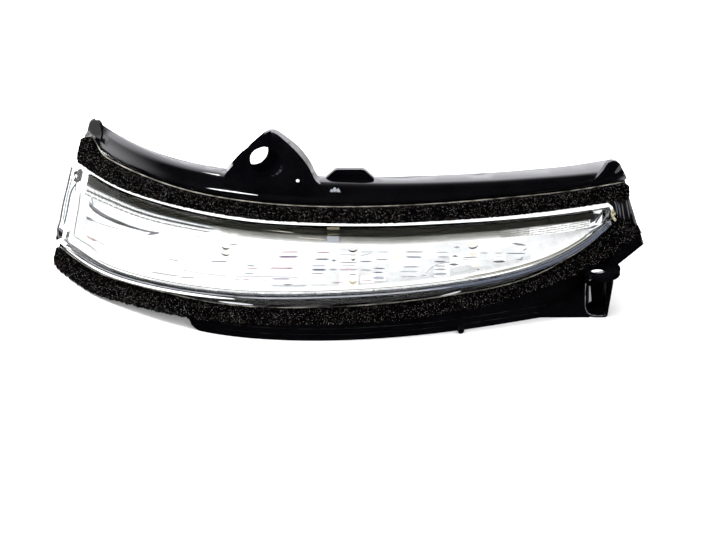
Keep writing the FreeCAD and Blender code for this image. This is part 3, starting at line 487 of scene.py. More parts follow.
def foam(name, node, zlo, zhi, t0, t1, seed, lead, tail):
    """Sponge strip; lead and tail are the lengths over which its ends round off."""
    ts = steps(t0, t1, 0.33)
    rings = []
    nz, nn = 15, 6
    for t in ts:
        a, c = zlo(t), zhi(t)
        e0, e1 = min(1.0, (t - t0) / lead), min(1.0, (t1 - t) / tail)
        k = (0.55 + 0.45 * math.sqrt(1 - (1 - e0) ** 2)) * (0.6 + 0.4 * math.sqrt(1 - (1 - e1) ** 2))
        mid, half = 0.5 * (a + c), 0.5 * (c - a) * k
        a2, c2 = mid - half, mid + half
        f0, f1 = foam_face(t), TAPE_F - 0.05
        ring = [(f0, a2 + (c2 - a2) * s) for s in np.linspace(0, 1, nz)]
        ring += [(f0 + (f1 - f0) * s, c2) for s in np.linspace(0, 1, nn)[1:]]
        ring += [(f1, c2 + (a2 - c2) * s) for s in np.linspace(0, 1, 5)[1:]]
        ring += [(f1 + (f0 - f1) * s, a2) for s in np.linspace(0, 1, nn)[1:-1]]
        rings.append(ring)
    R = np.array(rings)
    nu, nv = R.shape[:2]
    T = np.repeat(ts[:, None], nv, 1)
    n_, z_ = R[..., 0].copy(), R[..., 1].copy()
    amp = np.zeros((nu, nv, 3))
    for i in range(nu):
        for j in range(nv):
            q = Vector((T[i, j], n_[i, j] * 1.3 + seed * 17.0, z_[i, j]))
            amp[i, j] = noise.noise_vector(q * 1.3) * 0.25 + noise.noise_vector(q * 2.9) * 0.75
    f_ = np.array([foam_face(t) for t in ts])[:, None]
    back = np.clip((n_ - f_) / (TAPE_F - 0.05 - f_), 0, 1)
    k = 0.8 * (1 - 0.75 * back)
    n2 = np.clip(n_ + amp[..., 0] * k * 0.7, f_ - 0.15, TAPE_F - 0.05)
    z2 = z_ + amp[..., 1] * k
    t2 = T + amp[..., 2] * 0.3
    pts = P(t2, n2, z2)
    faces = [tuple(f) for f in grid_faces(nu, nv, True)]
    faces.append(tuple(range(nv - 1, -1, -1)))
    faces.append(tuple((nu - 1) * nv + j for j in range(nv)))
    o = new_mesh(name, pts.reshape(-1, 3), faces, m_foam, True, None)
    fix_normals(o)
    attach(o, "root")
    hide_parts(node)
    return o


def up_hi(t):
    u = min(max((-96.0 - t) / 7.0, 0.0), 1.0)
    return float(C["flange"](t)) - 0.1 + 3.3 * u * u * (3 - 2 * u) - 0.16 * max(0.0, -100.8 - t) ** 2


FOAM_END = Spline([83.6, 87.0, 89.6, 91.2, 92.2, 93.0], [28.3, 27.6, 26.9, 25.8, 24.4, 22.6])


def lo_hi(t):
    h = float(C["foam_high"](t))
    return min(h, float(FOAM_END(t))) if t > 83.6 else h


foam("upper_foam", "upper_foam_gasket", lambda t: float(C["lens_top"](t)) + 0.1, up_hi, -105.2, 89.2, 1, 2.2, 1.0)
foam("lower_foam", "lower_foam_gasket", lambda t: float(C["foam_low"](t)), lo_hi, -104.9, 92.9, 2, 0.9, 1.6)

# ------------------------------------------------------------------ lens
VW = 1.1                     # wall of the clear moulding


# width of the ledge in front of the upper foam strip, whose top is painted white as a highlight
WHITE = Spline([-102, -90, -75, -60, -45, -20, 5, 30, 50, 65, 84], [0.55, 0.75, 0.95, 1.25, 1.5, 1.5, 1.45, 1.7, 2.1, 2.5, 2.6])


def lens_outer(t):
    zt, zb = float(C["lens_top"](t)), float(C["lens_low"](t))
    ft, fb = float(C["flange"](t)) + 0.3, max(float(C["foam_low"](t)) + 0.9, 4.8)
    r = min(1.1, 0.2 * (zt - zb))
    e0 = min(FACE - 0.3, foam_face(max(t, -101.0)) + 0.6)
    e1 = max(foam_face(max(t, -101.0)) - float(WHITE(t)), 0.12)
    r0 = min(r, e1 * 0.9)
    poly = [(FACE + FL, fb), (FACE + FL, ft), (FACE, ft), (FACE, zt), (e0, zt), (e1, zt), (0, zt), (0, zb), (FACE, zb), (FACE, fb)]
    return rounded(poly, [0.1, 0.1, 0.1, 0.15, 0, 0, r0, r, 0.15, 0.1], 4)


def lens_inner(t):
    zt, zb = float(C["lens_top"](t)) - VW, float(C["lens_low"](t)) + VW
    if zt - zb < 0.8:
        zt = zb + 0.8
    poly = [(VW, zt), (FACE + FL + 1, zt), (FACE + FL + 1, zb), (VW, zb)]
    return rounded(poly, [0.6, 0, 0, 0.6], 3)


def flange_tail(t):
    ft, fb = float(C["flange"](t)) + 0.3, max(float(C["foam_low"](t)) + 0.9, 4.8)
    return [(FACE, fb), (FACE + FL, fb), (FACE + FL, ft), (FACE, ft)]


def wedge(name, low, high, behind=None):
    """Cutter on the +X side of the line between two (t, z) points."""
    vs = []
    for t, z in (low, high):
        p, nn, tt = frame_at(t)
        up = Vector((0, 0, z))
        far = 90 if behind is None else behind + z * math.tan(math.radians(float(C["lean"](t))))
        q = [p + nn * -30 + up, p + nn * far + up]
        vs += [q[0], q[1], q[1] + tt * 60, q[0] + tt * 60]
    o = new_mesh(name, [v * MM for v in vs], [(0, 1, 2, 3), (7, 6, 5, 4), (0, 4, 5, 1), (1, 5, 6, 2), (2, 6, 7, 3), (3, 7, 4, 0)],
                 m_lens, False)
    return fix_normals(o)


def join(name, parts):
    bm = bmesh.new()
    mats = []
    for o in parts:
        base = len(mats)
        k = len(bm.faces)
        bm.from_mesh(o.data)
        bm.faces.ensure_lookup_table()
        for f in bm.faces[k:]:
            f.material_index += base
        mats += list(o.data.materials)
    me = bpy.data.meshes.new(name)
    bm.to_mesh(me)
    bm.free()
    for m in mats:
        me.materials.append(m)
    for o in parts:
        bpy.data.objects.remove(o)
    o = bpy.data.objects.new(name, me)
    bpy.context.scene.collection.objects.link(o)
    return o


LT = steps(LENS0, LENS1, 1.6)


def lens_solid():
    rings = []
    for t in LT:
        q = np.array(lens_outer(float(t)), float)
        rings.append(P(np.full(len(q), t), q[:, 0], q[:, 1]))
    pts = np.array(rings)
    nu, nv = pts.shape[:2]
    faces = [tuple(f) for f in grid_faces(nu, nv, True)]
    # the top face of the ledge takes the white painted highlight; the faces after it stay clear
    index = [{20: 1, 21: 2, 22: 2, 23: 2}.get(k % nv, 0) for k in range(len(faces))]
    faces += [tuple(range(nv - 1, -1, -1)), tuple((nu - 1) * nv + j for j in range(nv))]
    index += [0, 0]
    return fix_normals(new_mesh("lens_shell", pts.reshape(-1, 3), faces, [m_lens, m_edge_highlight, m_clear], True, None, index))


lens = lens_solid()
boolean(lens, wedge("tip_cut", (84.4, 29.5), (81.0, 37.2), FACE - 0.02))
boolean(lens, loft("lens_void", lens_inner, steps(LENS0 + 1.4, 80.6, 1.6), m_lens, None))
tail = loft("lens_tail", flange_tail, steps(LENS1 + 0.03, 92.0, 1.0), [m_mark["x"]], None)
boolean(tail, wedge("tail_cut", (90.8, 24.0), (88.4, 41.0)))
print("lens materials", [m.name for m in lens.data.materials], [m.name for m in tail.data.materials])
lens = join("lens_shell", [lens, tail])
lens.data.polygons.foreach_set("use_smooth", [True] * len(lens.data.polygons))
lens.data.set_sharp_from_angle(angle=math.radians(32))
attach(lens, "root")
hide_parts("outer_lens")

# ------------------------------------------------------------------ lines drawn by the band, the fluted strip and the mirror
BAND_LOW = Spline([-98.0, -89.9, -82.0, -74.5, -63.3, -55.5, -47.7, -32.8, -19.0, -5.5, 14.3, 33.7, 47.7, 59.5, 72.6, 76.5],
                  [30.6, 32.2, 32.9, 33.5, 34.5, 34.8, 34.9, 34.8, 34.6, 34.1, 33.2, 32.6, 31.9, 31.5, 30.9, 30.7])
STRIP_LOW = Spline([-98.7, -90.1, -82.3, -74.8, -63.7, -55.8, -47.9, -32.9, -19.1, -5.5, 14.4, 33.9, 48.0, 59.8, 73.0, 77.0],
                   [26.6, 28.4, 29.3, 30.1, 31.3, 31.9, 32.2, 32.2, 31.9, 31.4, 30.4, 29.8, 29.1, 28.4, 27.8, 27.8])


def band_low(t):
    return float(BAND_LOW(t))


def strip_low(t):
    return float(STRIP_LOW(t))


def mouth(t):
    return float(C["mouth"](t))


def trim_section(t):
    zt = float(C["lens_top"](t)) - VW - 0.15
    m = band_low(t)
    return rounded([(1.9, zt - 0.4), (2.3, zt), (7.4, zt), (7.4, zt - 1.0), (3.8, zt - 1.0),
                    (3.6, m + 0.5), (3.6, m), (2.9, m), (2.3, m + 0.7)], 0.12, 2)


trim = loft("trim_band", trim_section, steps(-97.4, 76.6, 1.5), m_trim, 30)
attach(trim, "root")
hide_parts("inner_trim")

# ------------------------------------------------------------------ reflector with its fluted upper strip


def refl_section(t):
    zt, zb = strip_low(t) + 0.25, float(C["lens_low"](t)) + VW + 0.2
    k = zt - zb
    w = 0.7
    zr = min(zt, 30.7)
    back = min(13.7, 5.6 + 8.1 * min(1.0, max(0.0, (t + 99.6) / 14.0)))
    g = back / 13.7
    outer = [(4.4, zt), (4.9, zr), (13.4, zr), (14.8, zt - 0.25 * k), (14.9, zb + 0.45 * k), (13.6, zb + 0.2 * k),
             (11.0, zb + 0.04 * k), (8.4, zb), (2.2, zb)]
    inner = [(2.2, zb + w), (4.0 + 4.2 * g, zb + w), (4.6 + 6.0 * g, zb + 0.04 * k + w), (5.0 + 7.9 * g, zb + 0.2 * k + w * 0.6),
             (back, zb + 0.45 * k), (back - 0.1, zt - 0.25 * k - 0.2), (back - 0.9, zr - w), (4.3, zr - w), (4.0, zt - 0.1)]
    return rounded(outer + inner, [0.05, 0.1, 0.6, 2, 2, 2, 1.5, 1, 0.1, 0.1, 1, 1.5, 2, 2, 2, 0.6, 0.1, 0.05], 3)


def refl_fill(t):
    zt, zb = strip_low(t) + 0.25, float(C["lens_low"](t)) + VW + 0.2
    return [(2.2, zt), (13.0, min(zt, 30.7)), (13.6, 0.5 * (zt + zb)), (11.0, zb), (2.2, zb)]


def tip_fill(t):
    zt, zb = float(C["lens_top"](t)) - VW - 0.4, float(C["lens_low"](t)) + VW + 0.3
    return [(2.6, zt), (4.4, zt), (4.4, zb), (2.6, zb)]


refl = loft("reflector_shell", refl_section, steps(-98.8, 76.0, 1.5), m_chrome, 30)
cap_l = loft("cap_l", refl_fill, [-99.5, -98.6], m_chrome, 30)
cap_r = loft("cap_r", tip_fill, steps(75.6, 79.6, 1.0), m_chrome, 30)
refl = join("reflector_shell", [refl, cap_l, cap_r])
while len(refl.data.materials) > 1:
    refl.data.materials.pop()
for f in refl.data.polygons:
    f.material_index = 0
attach(refl, "root")
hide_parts("reflector")


def flute_mesh():
    """Strip between band and mirror: slanted flutes at both ends, plain and shaded in the middle."""
    ts = steps(-98.6, 76.8, 0.16)
    rows = 17
    rings, index = [], []
    for t in ts:
        lo, hi = strip_low(t) - 0.15, band_low(t) + 0.3
        wl = min(1.0, max(0.0, (-38.0 - t) / 10.0)) + min(1.0, max(0.0, (t - 44.0) / 8.0))
        fade = noise.noise(Vector((t * 0.09, 4.0, 0.0))) * 0.6
        ring = []
        for jj in range(rows):
            u = jj / (rows - 1)
            j = jj // 2
            z = hi + (lo - hi) * u
            ph = (t + 1.7 * (z - lo)) / 1.35
            tri = abs((ph % 1.0) - 0.5) * 2
            ring.append((3.55 + 0.35 * u - 0.26 * wl * tri, z))
            groove = ((t + 1.7 * (z - lo) * (1 if t < 0 else -1.4)) / (1.35 if t < 0 else 1.0)) % 1.0 < 0.26
            if t < -52 or t > 47:
                top = 7 if t < 0 else min(7, 4 + int((t - 47) / 3))
                if t > 0:
                    groove = (jj + 0.22 * t) % 3.4 < 1.0
                k = 0 if j < 1 else (2 + (j > 5) if groove else top - (j == 1) * 3)
                if t < -52 and j in (7,) and (t * 0.5) % 1.0 < 0.8:
                    k = 4
            else:
                w = max(0.0, min(1.0, (-40 - t) / 12.0))
                k = int(min(7, max(0, round(j * (0.85 + 0.25 * w + 0.25 * fade) + 2.2 * w * (j > 0)))))
                if groove and w > 0.3:
                    k = max(1, k - 3)
            index.append(k)
        index += [4] * rows
        for j in range(rows - 1, -1, -1):
            u = j / (rows - 1)
            ring.append((4.25, hi + (lo - hi) * u))
        rings.append(ring)
    R = np.array(rings)
    nu, nv = R.shape[:2]
    pts = P(np.repeat(ts[:, None], nv, 1), R[..., 0], R[..., 1])
    faces = [tuple(f) for f in grid_faces(nu, nv, True)]
    index = index[:len(faces)] + [4, 4]
    faces += [tuple(range(nv - 1, -1, -1)), tuple((nu - 1) * nv + j for j in range(nv))]
    o = new_mesh("fluted_strip", pts.reshape(-1, 3), faces, m_flute, True, None, index)
    fix_normals(o)
    o.data.set_sharp_from_angle(angle=math.radians(25))
    return o


flute = flute_mesh()
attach(flute, "root")
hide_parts("reflector")


class Ridges:
    """Collects thin raised ridges and pads that follow the lamp's surfaces into one mesh."""

    def __init__(self):
        self.v, self.f, self.i, self.mats = [], [], [], []

    def mat(self, key):
        m = m_mark[key] if isinstance(key, str) else key
        if m not in self.mats:
            self.mats.append(m)
        return self.mats.index(m)

    def line(self, pts, width, key, height=0.16, taper=0.0, step=1.2):
        """pts: (t, n, z) knots; width in mm across; taper: length over which the ends thin out."""
        k = self.mat(key)
        q = np.array(pts, float)
        d = np.r_[0, np.cumsum(np.linalg.norm(np.diff(q, axis=0), axis=1))]
        m = max(3, int(d[-1] / step) + 2)
        w = np.linspace(0, d[-1], m)
        if len(q) > 2:
            s = np.stack([Spline(d, q[:, c])(w) for c in range(3)], 1)
        else:
            s = np.stack([np.interp(w, d, q[:, c]) for c in range(3)], 1)
        g = np.gradient(s, axis=0)
        stretch = np.sqrt(1 + plan.slope(s[:, 0]) ** 2)
        dt, dz = g[:, 0] * stretch, g[:, 2]
        ln = np.maximum(np.hypot(dt, dz), 1e-6)
        half = np.full(m, width / 2)
        if taper:
            e = np.minimum(np.minimum(w, d[-1] - w) / taper, 1.0)
            half = half * (0.12 + 0.88 * np.sqrt(np.clip(e, 0, 1)))
        ot, oz = -dz / ln * half / stretch, dt / ln * half
        base = len(self.v)
        ring = [(ot, 0.0, oz), (-ot, 0.0, -oz), (-ot * 0.8, height, -oz * 0.8), (ot * 0.8, height, oz * 0.8)]
        allp = np.stack([P(s[:, 0] + a, s[:, 1] - h, s[:, 2] + c) for a, h, c in ring], 1)
        self.v += [tuple(x) for x in allp.reshape(-1, 3)]
        for i in range(m - 1):
            for j in range(4):
                j2 = (j + 1) % 4
                self.f.append((base + i * 4 + j, base + i * 4 + j2, base + (i + 1) * 4 + j2, base + (i + 1) * 4 + j))
                self.i.append(k)
        self.f += [(base + 3, base + 2, base + 1, base), tuple(base + (m - 1) * 4 + j for j in range(4))]
        self.i += [k, k]

    def pad(self, outline, n, key, height=0.14):
        """Flat raised pad with a (t, z) outline on the surface at depth n."""
        k = self.mat(key)
        m = len(outline)
        base = len(self.v)
        q = np.array(outline, float)
        for dn in (0.0, -height):
            self.v += [tuple(x) for x in P(q[:, 0], n + dn, q[:, 1])]
        self.f += [tuple(base + j for j in range(m)), tuple(base + m + j for j in range(m - 1, -1, -1))]
        self.i += [k, k]
        for j in range(m):
            j2 = (j + 1) % m
            self.f.append((base + j, base + j2, base + m + j2, base + m + j))
            self.i.append(k)

    def crescent(self, t, z, half, n, key, thick=0.45, sag=0.55):
        top = [(t + half * math.cos(a), z + sag * (1 - math.sin(a)) * 1.0) for a in np.linspace(0, math.pi, 9)]
        low = [(t + half * math.cos(a), z + (sag + thick) * (1 - math.sin(a)) - thick) for a in np.linspace(math.pi, 0, 9)][1:-1]
        self.pad([(a, b) for a, b in top] + low, n, key)

    def build(self, name, node):
        o = new_mesh(name, self.v, self.f, self.mats, False, None, self.i)
        fix_normals(o)
        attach(o, "root")
        if node:
            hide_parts(node)
        return o


# ------------------------------------------------------------------ inner optic with its pattern
OP = 4.6


def optic_section(t):
    zt, zb = strip_low(t) - 0.5, float(C["lens_low"](t)) + VW + 1.2
    return rounded([(OP, zb), (OP, zt), (7.4, min(zt, 29.9)), (7.4, zb)], 0.25, 2)


optic = loft("optic_bar", optic_section, steps(-97.4, 56.5, 1.6), m_clear, 30)
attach(optic, "root")
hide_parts("inner_optic")

# ribs of the optic: start and end along the lamp, height at both, width, tone
MARKS = [
    (-57.8, -54.8, 24.8, 25.4, 0.28, 'g'), (-50.9, -44.3, 22.7, 23.7, 0.32, 's'), (-44.2, -40.7, 29.0, 29.4, 0.23, 'g'), (-58.1, -54.3, 29.2, 30.0, 0.18, 'l'),
    (-37.5, -34.2, 23.1, 23.3, 0.37, 't'), (-37.7, -33.2, 22.1, 22.5, 0.32, 'p'), (-38.4, -34.4, 20.5, 20.9, 0.28, 't'), (-42.1, -39.1, 18.4, 18.7, 0.23, 'l'),
    (-38.6, -36.1, 18.7, 18.9, 0.23, 'p'), (-25.9, -19.4, 28.1, 28.4, 0.32, 'p'), (-26.4, -19.6, 26.6, 26.9, 0.6, 'u'), (-29.5, -21.3, 22.9, 23.3, 0.41, 'p'),
    (-26.3, -21.5, 23.0, 23.1, 0.23, 'u'), (-28.7, -22.2, 19.6, 19.9, 0.37, 'u'), (-24.8, -21.5, 18.0, 18.1, 0.28, 'g'), (-28.6, -16.7, 17.5, 17.9, 0.18, 'l'),
    (-13.5, -8.9, 28.3, 28.3, 0.32, 'p'), (-14.0, -9.2, 26.2, 26.2, 0.46, 's'), (-15.5, -10.4, 24.1, 24.2, 0.32, 'l'), (-15.2, -10.2, 22.9, 22.9, 0.6, 's'),
    (-15.5, -10.9, 21.7, 21.7, 0.23, 'g'), (-15.5, -10.9, 19.7, 19.8, 1.01, 'w'), (-5.8, 0.4, 27.6, 27.4, 0.28, 'l'), (-5.8, 0.3, 25.1, 24.9, 0.32, 'g'),
    (-5.6, 0.1, 24.2, 24.1, 0.23, 'l'), (-6.1, 0.1, 23.0, 22.8, 0.23, 'p'), (-9.4, -6.6, 23.0, 22.9, 0.55, 'l'), (-8.4, -6.8, 25.8, 25.8, 0.65, 'g'),
    (-32.1, -27.4, 26.8, 27.1, 1.01, 'b'), (-19.3, -16.7, 20.7, 20.7, 0.23, 'b'), (-32.7, -29.7, 21.7, 21.8, 0.55, 'b'), (-32.6, -30.1, 19.0, 19.1, 0.46, 'b'),
    (-2.8, 0.0, 21.3, 21.2, 0.28, 'g'), (-8.5, -4.7, 18.8, 18.8, 0.28, 'p'), (1.1, 5.9, 28.3, 28.1, 0.18, 'l'), (6.3, 10.6, 28.1, 27.8, 0.23, 'l'),
    (16.0, 22.1, 27.5, 27.0, 0.28, 'g'), (26.0, 30.1, 26.5, 26.1, 0.18, 'l'), (6.3, 10.3, 25.7, 25.5, 0.28, 'g'), (1.1, 5.1, 25.3, 25.1, 0.32, 's'),
    (16.0, 21.5, 25.9, 25.4, 0.41, 's'), (26.4, 30.1, 25.0, 24.6, 0.28, 'g'), (34.5, 39.9, 24.0, 23.4, 0.28, 'g'), (25.2, 29.1, 23.6, 23.2, 0.41, 'g'),
    (33.8, 38.5, 23.3, 22.7, 0.18, 'l'), (1.0, 4.7, 22.6, 22.4, 0.23, 't'), (5.5, 9.2, 22.9, 22.7, 0.32, 's'), (15.1, 20.3, 22.8, 22.4, 0.32, 's'),
    (25.1, 29.3, 22.2, 21.8, 0.32, 'g'), (25.1, 29.2, 21.1, 20.7, 0.65, 'l'), (5.2, 8.7, 21.6, 21.4, 0.46, 'g'), (5.1, 9.1, 19.9, 19.7, 1.01, 'l'),
    (13.9, 20.0, 21.4, 20.9, 0.23, 'l'), (13.8, 19.7, 19.8, 19.3, 0.32, 'l'), (25.0, 29.4, 19.6, 19.2, 0.92, 'l'), (1.0, 5.2, 21.2, 21.0, 0.23, 'b'),
    (0.9, 5.1, 19.4, 19.2, 0.28, 'p'), (31.0, 33.3, 24.8, 24.5, 0.74, 'g'), (30.1, 33.2, 22.2, 21.8, 0.65, 'g'), (31.8, 33.9, 27.5, 27.3, 0.65, 'l'),
    (20.8, 22.9, 19.6, 19.4, 0.46, 'l'), (40.4, 43.0, 24.7, 24.3, 0.23, 'l'), (45.1, 47.8, 24.0, 23.6, 0.23, 'g'), (44.5, 48.4, 21.3, 20.8, 0.74, 'g'),
    (45.0, 47.8, 23.0, 22.6, 0.18, 'l'), (48.7, 55.1, 23.4, 22.4, 0.28, 's'), (51.8, 54.1, 21.0, 20.6, 0.28, 't'), (50.9, 55.2, 26.3, 25.0, 0.55, 'g'),
    (54.2, 55.4, 23.4, 24.0, 0.37, 'g'), (53.2, 54.1, 20.8, 21.4, 0.37, 's'), (10.8, 14.8, 26.2, 25.9, 1.11, 'b'), (10.8, 14.4, 27.5, 27.3, 0.46, 'b'),
    (36.7, 39.9, 24.7, 24.3, 1.01, 'b'), (36.6, 39.9, 22.9, 22.4, 0.74, 'b'), (37.0, 40.2, 21.0, 20.5, 0.92, 'b'), (10.4, 13.7, 22.8, 22.6, 0.65, 'b'),
    (39.0, 40.1, 19.5, 19.4, 0.32, 'd'),
]
R = Ridges()
for t0, t1, z0, z1, w_, key in MARKS:
    R.line([(t0, OP - 0.02, z0), (t1, OP - 0.02, z1)], max(0.24, w_ * 1.05), key, 0.1, taper=min(0.9, 0.3 * abs(t1 - t0)))
for t, z, h in [(-45.4, 28.1, 1.75), (-45.3, 26.1, 1.75), (-1.2, 29.1, 1.55), (-1.2, 26.4, 0.8), (38.2, 27.1, 1.6)]:
    R.pad([(t - h, z + 0.55), (t + h, z + 0.5), (t + h * 0.9, z + 1.1), (t - h * 0.9, z + 1.15)], OP - 0.02, "b", 0.05)
    R.crescent(t, z - 0.35, h, OP - 0.03, "d", 0.5, 0.75)
R.crescent(-1.4, 19.0, 1.4, OP - 0.03, "y", 0.9, 0.6)
R.crescent(38.1, 24.5, 1.25, OP - 0.03, "b", 0.6, 0.6)
for pts, w_, key in [
        ([(-61.7, 18.1), (-44.3, 19.2), (-30.5, 20.2), (-19.1, 20.5)], 0.16, "g"),
        ([(-61.3, 15.7), (-55.9, 16.8)], 0.2, "g"),
        ([(-43.0, 26.8), (-37.1, 26.1), (-32.1, 25.9), (-27.6, 24.9)], 0.22, "b"),
        ([(-37.1, 26.1), (-29.3, 25.6)], 0.2, "b"),
        ([(22.2, 19.9), (25.2, 22.2), (30.5, 22.9)], 0.18, "l"),
        ([(1.1, 27.0), (5.1, 27.8)], 0.2, "l"),
        ([(-69.4, 23.3), (-66.4, 23.5)], 0.3, "l"), ([(-66.5, 20.0), (-62.1, 20.6)], 0.3, "g"),
        ([(-71.9, 14.2), (-66.6, 15.1), (-61.2, 16.0)], 0.22, "g"), ([(-66, 17.2), (-61, 18.0)], 0.2, "l"),
        ([(-96.9, 19.5), (-94.3, 20.1), (-91.0, 21.0), (-88.0, 21.8), (-85.0, 22.6)], 0.22, "g"),
        ([(-94.6, 14.6), (-91.4, 15.0), (-88.0, 15.3)], 0.2, "g"),
        ([(-96.6, 26.6), (-96.0, 24.4), (-94.4, 22.6)], 0.3, "g")]:
    R.line([(t, OP - 0.03, z) for t, z in pts], w_, key, 0.09, taper=0.8)
R.pad([(-97.3, 24.9), (-95.6, 24.3), (-92.4, 24.2), (-89.4, 24.5), (-86.0, 25.0), (-82.2, 25.3), (-78.0, 25.8), (-74.4, 26.4),
       (-70.8, 27.2), (-72.8, 26.2), (-76.4, 25.4), (-81.3, 24.6), (-86.4, 23.7), (-91.6, 23.0), (-95.4, 22.8), (-97.1, 23.4)],
      OP - 0.03, "g", 0.06)
R.pad([(-97.0, 24.1), (-95.2, 23.4), (-92.4, 23.4), (-89.4, 23.8), (-86.0, 24.3), (-83.0, 24.7),
       (-83.0, 24.4), (-86.4, 23.8), (-91.6, 23.1), (-95.4, 22.9), (-96.9, 23.4)], OP - 0.1, "k", 0.05)
R.pad([(-97.2, 26.4), (-96.6, 26.3), (-95.6, 24.7), (-96.3, 24.5)], OP - 0.03, "l", 0.05)
R.pad([(-97.3, 19.8), (-95.8, 20.3), (-93.9, 20.2), (-95.9, 19.3), (-96.9, 18.9)], OP - 0.03, "g", 0.06)
R.pad([(-75.2, 25.0), (-73.3, 26.3), (-70.5, 27.2), (-71.4, 26.4), (-74.2, 25.1)], OP - 0.05, "g", 0.1)
R.pad([(-96.9, 17.2), (-95.6, 18.2), (-94.5, 15.2), (-95.8, 14.6)], OP - 0.02, "c", 0.06)
R.pad([(-95.8, 14.5), (-94.3, 14.4), (-91.9, 14.9), (-93.1, 14.1), (-95.4, 13.9)], OP - 0.02, "r", 0.06)
for t0, t1, z0, z1, key in [(-6.2, 0.4, 23.6, 28.4, "m"), (-15.4, -10.2, 18.6, 20.9, "m"), (-6.0, 0.2, 17.6, 22.2, "m"),
                           (1.0, 5.6, 18.4, 20.8, "m"), (10.6, 14.9, 22.0, 24.9, "m"), (25.2, 30.2, 18.6, 22.6, "m"),
                           (33.6, 39.9, 21.4, 25.6, "m"), (-38.6, -33.4, 19.6, 20.4, "m"), (45.0, 48.4, 20.6, 23.4, "m"),
                           (30.4, 33.4, 21.2, 25.2, "m"), (5.2, 9.2, 18.9, 21.4, "m"), (15.4, 20.2, 22.9, 24.8, "m")]:
    R.pad([(t0, z0), (t1, z0 - 0.02 * (t1 - t0)), (t1 + 0.2, z1 - 0.02 * (t1 - t0)), (t0 + 0.2, z1)], OP + 0.02, key, 0.02)
R.build("optic_pattern", "inner_optic")

# ------------------------------------------------------------------ beaded lip and lines along the mirror's lower edge
R = Ridges()


def low(t, d):
    return float(C["lens_low"](t)) + d


def along(t0, t1, n, d, step=4.0):
    return [(float(t), n, low(float(t), d)) for t in steps(t0, t1, step)]


R.line(along(-88, 74, 2.15, VW + 0.95), 0.22, "o", 0.1)
R.line(along(-70, 40, 2.15, VW + 0.55), 0.12, "l", 0.1)
for t in steps(-86, 40, 1.0):
    if noise.noise(Vector((float(t) * 0.37, 3.1, 0))) > -0.28 - (0.5 if t < -45 else 0.0):
        dz = 0.18 * noise.noise(Vector((float(t) * 2.1, 9.0, 0)))
        R.line([(float(t) - 0.32, 2.13, low(float(t), VW + 0.15 + dz)), (float(t) + 0.32, 2.13, low(float(t) + 0.32, VW + 0.15 + dz))],
               0.34, "g" if noise.noise(Vector((float(t), 0.3, 5.0))) > 0 else "k", 0.14)
R.line(along(20, 82, 1.75, 0.42, 3.0), 0.75, "s", 0.1, taper=6)
R.line(along(46, 83, 1.6, 1.35, 3.0), 0.4, "g", 0.1, taper=6)
R.line(along(34, 76, 2.0, 2.55, 3.0), 0.3, "o", 0.12, taper=5)
R.line(along(56, 80, 1.5, 2.0, 3.0), 0.22, "k", 0.12, taper=4)
R.line(along(-40, 30, 1.6, 0.35, 4.0), 0.4, "l", 0.08, taper=10)
R.line(along(-96, -40, 1.5, 0.5, 4.0), 0.3, "l", 0.08, taper=6)
# lines under the band at the outboard end, and the light line painted as a highlight that closes it
for k, (d0, d1) in enumerate([(0.5, 0.4), (1.3, 0.8), (2.2, 1.3), (3.0, 1.9)]):
    R.line([(float(t), 3.3, band_low(float(t)) - d0 + (d0 - d1) * (float(t) + 99) / 50) for t in steps(-98.8, -50, 4)],
           0.3 if k % 2 else 0.42, "k" if k % 2 == 0 else "w", 0.2, taper=5)
R.line([(-98.4, 1.9, 35.2), (-97.9, 1.9, 33.9), (-97.2, 1.9, 32.0)], 0.42, m_highlight, 0.12)
R.line([(-34.2, 2.25, 35.9), (-28.7, 2.25, 35.8), (-21.2, 2.25, 35.4)], 0.16, "b", 0.06, taper=2)
R.line([(-20.0, 3.5, 33.4), (-15.5, 3.5, 33.2), (-10.2, 3.5, 32.9)], 0.2, "b", 0.06, taper=2)
R.pad([(-9.9, 37.2), (-5.8, 37.2), (-5.7, 35.0), (-9.7, 34.9)], 2.25, "o", 0.04)
R.pad([(-9.9, 34.0), (-5.7, 34.0), (-6.0, 32.0), (-9.7, 32.0)], 3.4, "l", 0.1)
for t_, z_, l_ in ((-95.6, 34.4, 1.5), (-93.6, 34.9, 1.1), (-91.4, 34.6, 1.4), (-88.5, 35.0, 1.0)):
    R.line([(t_, 2.25, z_), (t_ + l_, 2.25, z_ - 1.0)], 0.3, "o" if l_ < 1.3 else "y", 0.06, taper=0.5)
# dark gap at the mirror's outboard edge
R.line([(-99.6, 2.15, 30.4), (-98.9, 2.15, 26.8), (-98.3, 2.15, 19.8), (-97.9, 2.15, 13.5)], 0.42, "k", 0.15, taper=9)
R.line([(-97.9, 2.15, 13.4), (-95.6, 2.15, 13.6), (-92.8, 2.15, 13.9), (-89.0, 2.15, 13.6)], 0.26, "g", 0.12, taper=3)
